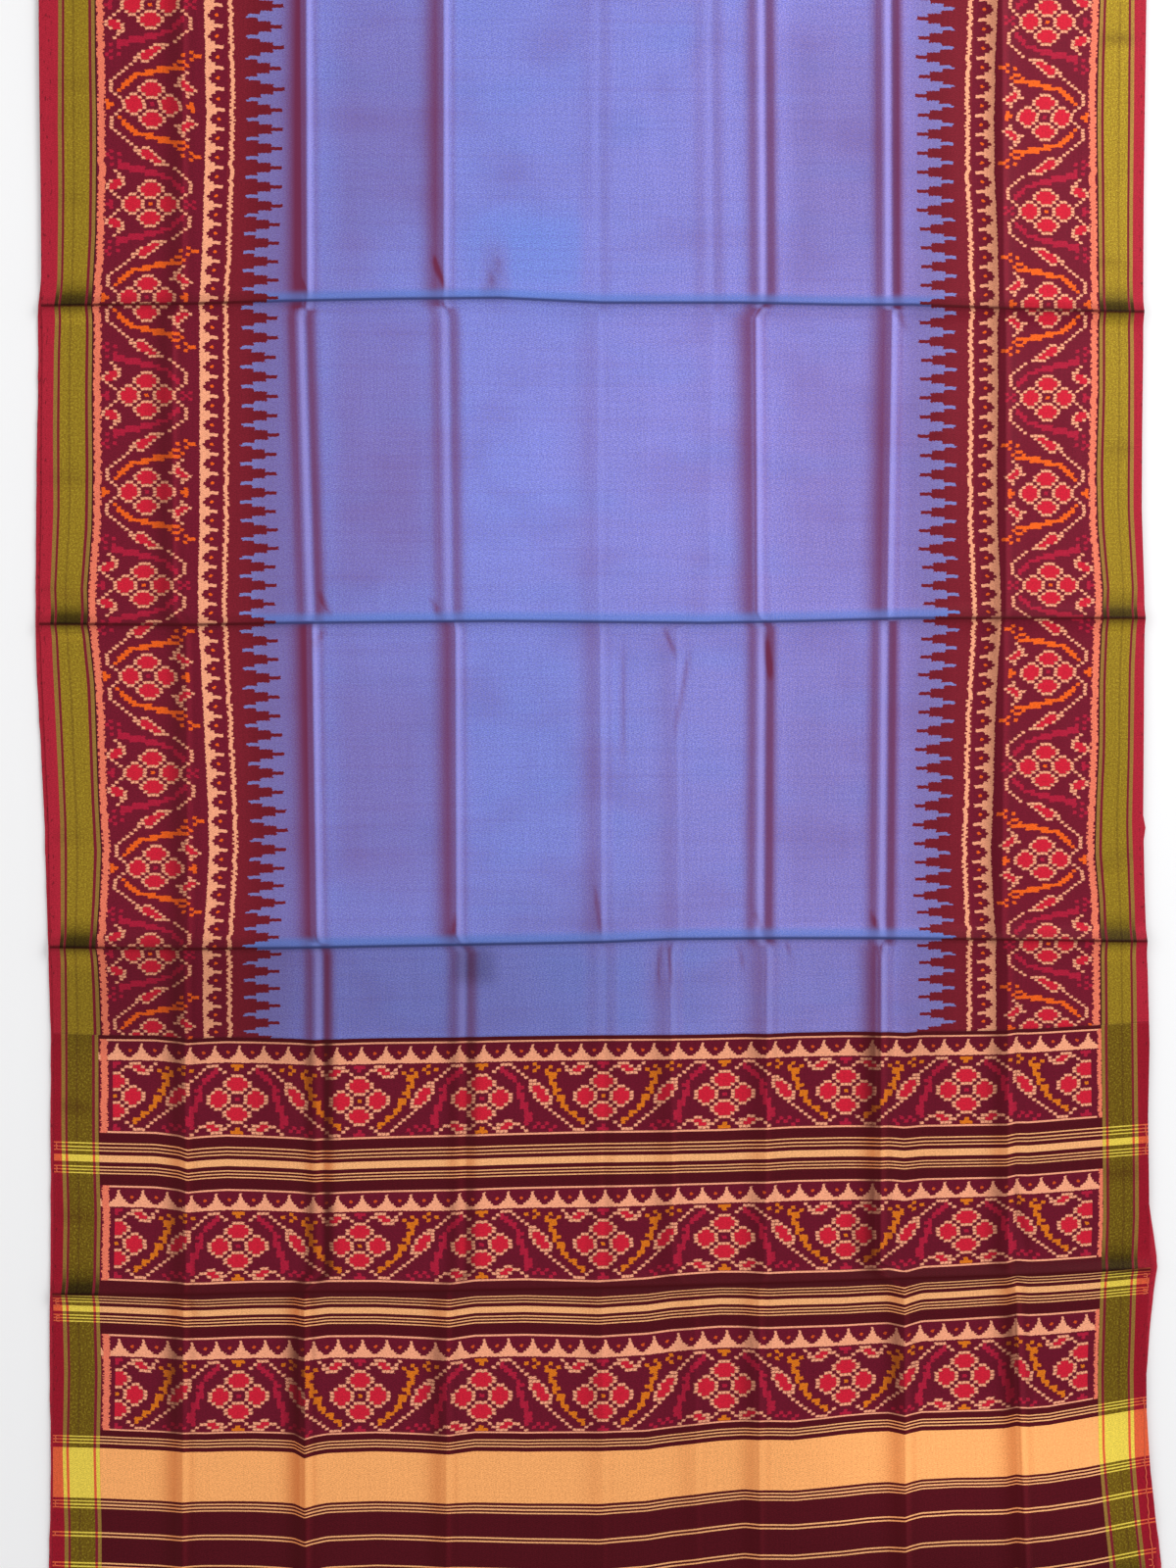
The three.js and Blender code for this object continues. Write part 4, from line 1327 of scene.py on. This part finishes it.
def pallu_color(loom, u, v, distance):
    """The end panel's pattern: three figured bands, the lines between them, and the selvedge warps."""
    across, along = feathered(loom, u, v, 0.7, 0.35)
    near, _ = feathered(loom, distance, v, 1.2, 0.4)
    right = loom.calc("GREATER_THAN", u, PATTERN_WIDTH / 2)
    near = loom.calc("MULTIPLY_ADD", right, RIGHT_STRIPE_SHIFT, near)
    inner = loom.calc("MULTIPLY_ADD", right, RIGHT_FIGURES_SHIFT, distance)
    top = FIRST_BAND
    for past, further in NEXT_BANDS:
        top = loom.calc("ADD", top, loom.calc("MULTIPLY", loom.calc("GREATER_THAN", v, past), further))
    down = loom.calc("SUBTRACT", v, top)
    dyed_down = loom.calc("SUBTRACT", along, top)
    in_band = loom.between(down, *FIGURED_BAND)
    color = loom.mix(in_band, dye("pallu_plain"), dye("pallu_ground"))
    # comb
    shift = loom.calc("SUBTRACT", across, FLOWER_START)
    tips = loom.calc("SUBTRACT", shift, END_COMB_SHIFT)
    depth = loom.calc("SUBTRACT", END_COMB_BACK, dyed_down)
    comb = loom.group(shared_groups()["end comb"], [("Along", tips), ("Depth", depth),
                                                    ("Pitch", FLOWER_PITCH / 5), ("Height", END_COMB_HEIGHT)])
    teeth = loom.calc("MULTIPLY", comb.outputs["Peach"], in_band)
    color = loom.mix(teeth, color, dye("peach"))
    spots = loom.calc("MULTIPLY", comb.outputs["Dots"], loom.between(down, *END_SPOTS))
    color = loom.mix(loom.calc("MULTIPLY", spots, 0.7), color, dye("orange"))
    # figures
    wave = loom.calc("PINGPONG", shift, FLOWER_PITCH)
    steps = loom.calc("MULTIPLY", wave, CHART_STEPS / FLOWER_PITCH)
    cell = loom.calc("DIVIDE", loom.calc("SUBTRACT", CHART_STEPS + 0.5, steps), CHART_STEPS + 1.0)
    row = loom.calc("DIVIDE", loom.calc("SUBTRACT", dyed_down, PANEL_CHART_START), PANEL_CHART_HEIGHT)
    bundle = loom.calc("MULTIPLY", row, float(len(PALLU_CHART)))
    pick = loom.calc("MULTIPLY", cell, CHART_STEPS + 1.0)
    figures = dyed_figures(loom, "pallu", cell, row, bundle, pick, "pallu_ground", "pallu_orange")
    inside = loom.calc("MULTIPLY", loom.between(dyed_down, *PANEL_FIGURES),
                       loom.calc("GREATER_THAN", inner, FIGURES_EDGE))
    color = loom.mix(inside, color, figures)
    # the frame of each band
    frame_lines = loom.calc("ADD", *[loom.calc("MULTIPLY", loom.between(down, *line),
                                               loom.calc("GREATER_THAN", inner, edge))
                                     for line, edge in FRAME_LINES])
    color = loom.mix(frame_lines, color, dye("peach"))
    stripe_end = loom.remap(right, 0.0, 1.0, *PANEL_STRIPE_ENDS)
    stripe = loom.calc("MULTIPLY", in_band, loom.between(near, PANEL_STRIPE_START, stripe_end))
    color = loom.mix(stripe, color, dye("salmon"))
    # warps beside the selvedge
    color, metal, metal_mask = selvedge_warps(loom, color, distance, v, "pallu_olive", "pallu_selvedge",
                                              PANEL_WARPS_WIDTH)
    # lines woven right across
    lines = 0.0
    for low, high, spans in PALLU_LINES.values():
        stops = [(0.0, (0, 0, 0, 1))]
        for start, end in spans:
            stops += [((start - low) / (high - low), (1, 1, 1, 1)),
                      ((end - low) / (high - low), (0, 0, 0, 1))]
        share = loom.calc("DIVIDE", loom.calc("SUBTRACT", v, low), high - low, clamp=True)
        lines = loom.calc("ADD", lines, loom.ramp(share, stops))
    pair = loom.calc("MODULO", loom.calc("SUBTRACT", v, PAIR_START), PAIR_PITCH)
    pairs = loom.calc("ADD", *[loom.between(pair, *line) for line in PAIR_LINES])
    lines = loom.calc("ADD", lines, loom.calc("MULTIPLY", pairs, loom.calc("GREATER_THAN", v, PAIR_START)))
    lines = loom.calc("MULTIPLY", lines, loom.calc("GREATER_THAN", distance, LINES_EDGE), clamp=True)
    band = loom.mix(loom.between(v, *WIDE_BAND), dye("band_line"), dye("band"))
    over = loom.mix(metal_mask, dye("band_selvedge"), dye("band_olive"))
    over = loom.mix(loom.calc("GREATER_THAN", distance, PANEL_WARPS_WIDTH), over, band)
    color = loom.mix(lines, color, over)
    metal = loom.calc("MULTIPLY", metal, loom.calc("SUBTRACT", 1.0, lines))
    return color, metal, lines


def new_material(name):
    """An empty material, and the loom to build it with."""
    material = bpy.data.materials.new(name)
    material.use_nodes = True
    material.node_tree.nodes.clear()
    return material, Loom(material.node_tree)


def silk_material(name, pattern, plain, figured):
    """A woven silk with the given pattern. plain and figured say how its creases look on the open cloth and
    on the figured part: the dyes of the painted shade on a flank, the painted highlight on a crest, the
    painted sheen before a fold and the painted shadow of its line, and the first three's shares."""
    material, loom = new_material(name)
    groups = shared_groups()
    u, v, distance = cloth_places(loom)
    color, metal, is_open = pattern(loom, u, v, distance)
    weave = loom.group(groups["weave"], [("Across", u), ("Along", v), ("Pitch", sizes().weave / MM),
                                         ("Contrast", 0.22)])
    feeds = [("Color", loom.scale(color, weave.outputs["Shade"])), ("Metal", metal)]
    for label, on_open, on_figures in zip(("Flank", "Crest", "Fold", "Line"), plain[0], figured[0]):
        feeds.append((label, loom.mix(is_open, dye(on_figures), dye(on_open))))
    for label, on_open, on_figures in zip(("Flank share", "Crest share", "Fold share"), plain[1], figured[1]):
        feeds.append((label, loom.remap(is_open, 0.0, 1.0, on_figures, on_open)))
    crease = loom.group(groups["crease"], feeds)
    bump = loom.add("ShaderNodeBump", [("Strength", 0.25), ("Distance", 0.0004),
                                       ("Height", weave.outputs["Height"])])
    shader = loom.add("ShaderNodeBsdfPrincipled", [
        ("Base Color", crease.outputs["Color"]), ("Roughness", loom.remap(metal, 0.0, 1.0, 0.48, 0.40)),
        ("Metallic", loom.remap(metal, 0.0, 1.0, 0.12, 0.35)), ("Specular IOR Level", 0.08),
        ("Sheen Weight", 0.01), ("Sheen Roughness", 0.4), ("Normal", bump.outputs[0])])
    loom.add("ShaderNodeOutputMaterial", [(0, shader.outputs[0])])
    return material


# Painted crease light and shade for each part: flank shade, crest highlight, fold sheen and fold shadow dyes,
# then shares
OPEN_FIELD = (("flank", "shine", "fold_sheen", "fold_shadow"), (1.0, 0.7, 0.55))
FIGURES = (("deep", "red", "deep", "deep"), (0.8, 0.12, 0.25))
PANEL = (("deep", "red", "deep", "deep"), (1.0, 0.06, 0.15))
BAND = (("band_shade", "band", "band_shade", "deep"), (0.85, 0.5, 0.25))


def plain_material(name, color, roughness, fibre=900.0, darkest=0.86):
    """A plain thread or floor finish, a little darker in fine patches."""
    material, loom = new_material(name)
    place = loom.add("ShaderNodeTexCoord")
    noise = loom.add("ShaderNodeTexNoise", [("Vector", place.outputs["Object"]), ("Scale", fibre)])
    darker = (*(channel * darkest for channel in color[:3]), 1.0)
    shader = loom.add("ShaderNodeBsdfPrincipled", [
        ("Base Color", loom.mix(noise.outputs["Fac"], darker, color)), ("Roughness", roughness)])
    loom.add("ShaderNodeOutputMaterial", [(0, shader.outputs[0])])
    return material


# Pieces

FAR_TURN = 3.0


def build_body():
    """The body of the top run, from the far turn to the end panel."""
    piece = build_run("body_cloth", FAR_END + FAR_TURN, PALLU_PLACE, body=True)
    give_thickness(piece)
    piece.data.materials.append(silk_material("Field silk", body_color, OPEN_FIELD, FIGURES))
    return piece


def build_pallu():
    """The end panel of the top run, to the end of the cloth."""
    piece = build_run("pallu_cloth", PALLU_PLACE, CLOTH_END, body=False)
    give_thickness(piece)
    piece.data.materials.append(silk_material("Pallu silk", pallu_color, BAND, PANEL))
    return piece


# The side of the two layers below, from the floor up: how far in, and the height
UNDER_SIDE = [
    (2.4, 0.0), (0.9, 0.04), (0.25, 0.3), (0.0, 0.7), (0.2, 1.05), (0.7, 1.3), (1.9, 1.42), (3.6, 1.5),
    (2.2, 1.6), (0.9, 1.72), (0.35, 2.0), (0.3, 2.35), (0.7, 2.7), (1.6, 2.92), (4.0, 3.0),
]


# The far end, the long middle and the near end of the layers below: places, and the share of their height
UNDER_FAR_END = [(-147.6, 0.3), (-147.2, 0.6), (-146.0, 0.85), (-143.5, 1.0)]
UNDER_MIDDLE = (-138.0, 1682.0)
UNDER_ROWS = 150
UNDER_NEAR_END = [(1686.5, 1.0), (1688.8, 0.85), (1689.7, 0.6), (1690.0, 0.3)]
UPPER_LAYER = 1.5


def under_inset(place, inset, height):
    """How far in from the edge a point of the side lies. The two layers wander apart a little."""
    wave = 0.35 * math.sin(place * 0.09) + 0.25 * math.sin(place * 0.037 + 1.0)
    upper = 0.5 * math.sin(place * 0.053 + 2.0) if height > UPPER_LAYER else 0.0
    return inset + abs(wave + upper)


def build_under():
    """The two runs below, as one closed form with two layers showing at its edges."""
    start, end = UNDER_MIDDLE
    middle = [(start + (end - start) * row / UNDER_ROWS, 1.0) for row in range(UNDER_ROWS + 1)]
    stations = UNDER_FAR_END + middle + UNDER_NEAR_END
    points, uvs, faces = [], [], []
    ring = 2 * len(UNDER_SIDE)
    for place, tall in stations:
        left, right = read_table(UNDER_EDGES, place, 1), read_table(UNDER_EDGES, place, 2)
        section = [(right - under_inset(place, inset, z), z * tall, 1) for inset, z in UNDER_SIDE]
        section += [(left + under_inset(place, inset, z), z * tall, -1) for inset, z in reversed(UNDER_SIDE)]
        for x, z, side in section:
            points.append(((x - MIDDLE_X) * MM, (ZERO_Y - place) * MM, z * MM))
            uvs.append((x - left if side < 0 else PATTERN_WIDTH - (right - x), place))
    for row in range(len(stations) - 1):
        for index in range(ring):
            follow = (index + 1) % ring
            a, b = row * ring + index, row * ring + follow
            faces.append((a, a + ring, b + ring, b))
    last = (len(stations) - 1) * ring
    for index in range(len(UNDER_SIDE) - 1):
        opposite = ring - 1 - index
        faces.append((index, index + 1, opposite - 1, opposite))
        faces.append((last + index, last + opposite, last + opposite - 1, last + index + 1))
    marks = [(Lay.far, Lay.far, 0.0, 0.0, 0.0)] * len(points)
    piece = finish_grid("under_cloth", points, uvs, marks, faces)
    shade_smooth(piece)
    piece.data.materials.append(silk_material("Layered silk", body_color, OPEN_FIELD, FIGURES))
    return piece


def turn_tree(radius):
    """Geometry nodes that sweep a thread's round section along its path."""
    tree = bpy.data.node_groups.new("Weft turns", "GeometryNodeTree")
    tree.interface.new_socket("Geometry", in_out="INPUT", socket_type="NodeSocketGeometry")
    tree.interface.new_socket("Radius", in_out="INPUT", socket_type="NodeSocketFloat").default_value = radius
    tree.interface.new_socket("Finish", in_out="INPUT", socket_type="NodeSocketMaterial")
    tree.interface.new_socket("Geometry", in_out="OUTPUT", socket_type="NodeSocketGeometry")
    loom = Loom(tree)
    given = loom.add("NodeGroupInput")
    path = loom.add("GeometryNodeMeshToCurve", [(0, given.outputs["Geometry"])])
    smooth = loom.add("GeometryNodeResampleCurve", [("Curve", path.outputs[0]), ("Length", 0.0012)],
                      mode="LENGTH")
    section = loom.add("GeometryNodeCurvePrimitiveCircle", [("Resolution", 6)])
    loom.feed(section.inputs["Radius"], given.outputs["Radius"])
    swept = loom.add("GeometryNodeCurveToMesh", [(0, smooth.outputs[0]), (1, section.outputs[0])])
    swept.inputs["Fill Caps"].default_value = True
    real = loom.add("GeometryNodeRealizeInstances", [(0, swept.outputs[0])])
    finish = loom.add("GeometryNodeSetMaterial", [(0, real.outputs[0])])
    loom.feed(finish.inputs["Material"], given.outputs["Finish"])
    out = loom.add("NodeGroupOutput")
    loom.feed(out.inputs[0], finish.outputs[0])
    return tree


def edge_point(side, inset, weft, lift):
    """A point just above the cloth near a selvedge."""
    column = 1 if side < 0 else 4
    x = read_table(EDGES, weft, column)
    place = row_point(x, weft)
    x = read_table(EDGES, place, column) + (inset if side < 0 else -inset)
    place = row_point(x, weft)
    return Vector(((x - MIDDLE_X) * MM, (ZERO_Y - place) * MM,
                   (TOP_FACE + Lay(x, place).height + lift) * MM))


# Thread turns, in millimetres: how far in from the edge one starts and bends, how far its bend bulges out,
# its steps, and how high it lies over the cloth at its ends and in its bend
TURN_IN = 6.6
TURN_BEND_IN = 3.6
TURN_OUT = 0.9
BEND_STEPS = 5
SUNK_LIFT = 0.15
TURN_LIFT = 0.25

# The widest line that turns, the gap left before the cloth's end, and the longest gap between two lines over
# which a thread turns, and over which it is carried, with how it runs there
THIN_LINE = 3
END_GAP = 4
TURN_GAP = 5
CARRIED_GAP = 60
CARRIED_INSET = 1.9
CARRIED_WAVE = 0.5
CARRIED_STEPS = 8


def turn_path(side, first, second):
    """A weft's short turn at a selvedge, from one line to the next."""
    path = [edge_point(side, TURN_IN, first, SUNK_LIFT), edge_point(side, TURN_BEND_IN, first, TURN_LIFT)]
    for step in range(BEND_STEPS + 1):
        angle = math.pi * step / BEND_STEPS
        path.append(edge_point(side, TURN_BEND_IN - TURN_OUT * math.sin(angle),
                               first + (second - first) * (1 - math.cos(angle)) / 2, TURN_LIFT))
    return path + [edge_point(side, TURN_IN, second, SUNK_LIFT)]


def thread_paths():
    """Where the peach wefts turn at the selvedges, and where they are carried along them to the next line."""
    wefts = []
    for _, _, spans in PALLU_LINES.values():
        wefts += [(start + end) / 2 for start, end in spans if end - start < THIN_LINE]
    at = PAIR_START
    while at + PAIR_LINES[1][1] < CLOTH_END - END_GAP:
        wefts += [at + sum(line) / 2 for line in PAIR_LINES]
        at += PAIR_PITCH
    wefts.sort()
    paths = []
    for first, second in zip(wefts, wefts[1:]):
        gap = second - first
        for side in (1, -1):
            if gap < TURN_GAP:
                paths.append(turn_path(side, first, second))
            elif gap < CARRIED_GAP and side > 0:
                paths.append([edge_point(side, CARRIED_INSET + CARRIED_WAVE * math.sin(step * 1.9),
                                         first + gap * step / CARRIED_STEPS, 0.2)
                              for step in range(CARRIED_STEPS + 1)])
    return paths


def build_threads():
    """The weft threads at the selvedges, swept along their paths."""
    points, edges = [], []
    for path in thread_paths():
        start = len(points)
        points += path
        edges += [(start + index, start + index + 1) for index in range(len(path) - 1)]
    mesh = bpy.data.meshes.new("weft_turns")
    mesh.from_pydata([tuple(point) for point in points], edges, [])
    piece = place_object("weft_turns", mesh)
    finish = plain_material("Carried thread", dye("band_selvedge"), 0.6)
    tree = turn_tree(sizes().thread / 2)
    modifier = piece.modifiers.new("Threads", "NODES")
    modifier.node_group = tree
    keys = {item.name: item.identifier for item in tree.interface.items_tree if item.in_out == "INPUT"}
    modifier[keys["Radius"]] = sizes().thread / 2
    modifier[keys["Finish"]] = finish
    apply_modifiers(piece)
    shade_smooth(piece)
    return piece


# The floor's half width and how far under the cloth it lies, the sky's strength low down and overhead, and
# each light's place, power and width
FLOOR_HALF = 6.0
FLOOR_DROP = 0.0002
SKY_STRENGTH = (0.95, 0.32)
LIGHTS = (("key", (1.9, 1.5, 2.2), 58.0, 1.8), ("fill", (-2.2, 0.4, 2.4), 14.0, 2.5))

# The picture in millimetres: its height and its middle, as the cloth's x and place
PICTURE_HEIGHT = 1600
PICTURE_MIDDLE = (600, 800)
SENSOR = 36.0


def build_stage():
    """A plain pale floor, soft light from above with a little more from the far right, and the camera."""
    scene = bpy.context.scene
    floor = bpy.data.meshes.new("floor")
    corners = [(-1, -1), (1, -1), (1, 1), (-1, 1)]
    floor.from_pydata([(x * FLOOR_HALF, y * FLOOR_HALF, 0) for x, y in corners], [], [(0, 1, 2, 3)])
    ground = place_object("floor", floor)
    ground.location.z = -FLOOR_DROP
    floor.materials.append(plain_material("Pale floor", dye("floor"), 0.9, 3.0, 0.99))
    world = bpy.data.worlds.new("Studio")
    scene.world = world
    world.use_nodes = True
    loom = Loom(world.node_tree)
    around = loom.add("ShaderNodeTexCoord")
    parts = loom.add("ShaderNodeSeparateXYZ", [(0, around.outputs["Generated"])])
    background = world.node_tree.nodes["Background"]
    background.inputs[0].default_value = (1.0, 1.0, 1.0, 1.0)
    loom.feed(background.inputs[1], loom.remap(parts.outputs[2], 0.55, 0.95, *SKY_STRENGTH, smooth=True))
    for name, place, power, size in LIGHTS:
        light = bpy.data.lights.new(name, "AREA")
        light.energy = power
        light.size = size
        lamp = place_object(name, light)
        lamp.location = place
        lamp.rotation_euler = (-lamp.location).to_track_quat("-Z", "Y").to_euler()
    camera = bpy.data.cameras.new("camera")
    camera.lens = SENSOR * sizes().view_height / (PICTURE_HEIGHT * MM)
    camera.sensor_width = SENSOR
    camera.clip_end = 100.0
    view = place_object("camera", camera)
    view.location = ((PICTURE_MIDDLE[0] - MIDDLE_X) * MM, (ZERO_Y - PICTURE_MIDDLE[1]) * MM,
                     sizes().view_height + TOP_FACE * MM)
    scene.camera = view
    scene.view_settings.view_transform = "Standard"


# The add-on

class SAREE_OT_stage(bpy.types.Operator):
    """Add the floor, the lights and the camera"""
    bl_idname = "saree.stage"
    bl_label = "Stage"

    def execute(self, context):
        build_stage()
        return {"FINISHED"}


class SAREE_OT_under(bpy.types.Operator):
    """Add the two runs of cloth below"""
    bl_idname = "saree.under"
    bl_label = "Layers below"

    def execute(self, context):
        piece = build_under()
        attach(piece, "root")
        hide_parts("under_layers")
        return {"FINISHED"}


class SAREE_OT_body(bpy.types.Operator):
    """Add the body of the saree, with its field and side borders"""
    bl_idname = "saree.body"
    bl_label = "Body"

    def execute(self, context):
        piece = build_body()
        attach(piece, "root")
        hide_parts("body_stretch")
        return {"FINISHED"}


class SAREE_OT_pallu(bpy.types.Operator):
    """Add the decorated end panel"""
    bl_idname = "saree.pallu"
    bl_label = "End panel"

    def execute(self, context):
        piece = build_pallu()
        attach(piece, "root")
        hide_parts("pallu_stretch")
        return {"FINISHED"}


class SAREE_OT_threads(bpy.types.Operator):
    """Add the weft threads that turn at the selvedges"""
    bl_idname = "saree.threads"
    bl_label = "Weft turns"

    def execute(self, context):
        piece = build_threads()
        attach(piece, "root")
        return {"FINISHED"}


class SAREE_PT_panel(bpy.types.Panel):
    """Lists the saree's sizes, dyes and pieces"""
    bl_idname = "SAREE_PT_panel"
    bl_label = "Patola saree"
    bl_space_type = "VIEW_3D"
    bl_region_type = "UI"
    bl_category = "Saree"

    def draw(self, context):
        for settings in (context.scene.saree_sizes, context.scene.saree_dyes):
            for name in settings.__annotations__:
                self.layout.prop(settings, name)
        for operator in OPERATORS:
            self.layout.operator(operator.bl_idname)


OPERATORS = (SAREE_OT_stage, SAREE_OT_under, SAREE_OT_body, SAREE_OT_pallu, SAREE_OT_threads)
CLASSES = (SareeSizes, SareeDyes, *OPERATORS, SAREE_PT_panel)


def register():
    for item in CLASSES:
        bpy.utils.register_class(item)
    bpy.types.Scene.saree_sizes = PointerProperty(type=SareeSizes)
    bpy.types.Scene.saree_dyes = PointerProperty(type=SareeDyes)


def unregister():
    del bpy.types.Scene.saree_dyes
    del bpy.types.Scene.saree_sizes
    for item in reversed(CLASSES):
        bpy.utils.unregister_class(item)


def main():
    register()
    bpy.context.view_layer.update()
    bpy.ops.saree.stage()
    bpy.ops.saree.under()
    bpy.ops.saree.body()
    bpy.ops.saree.pallu()
    bpy.ops.saree.threads()


if __name__ == "__main__":
    main()
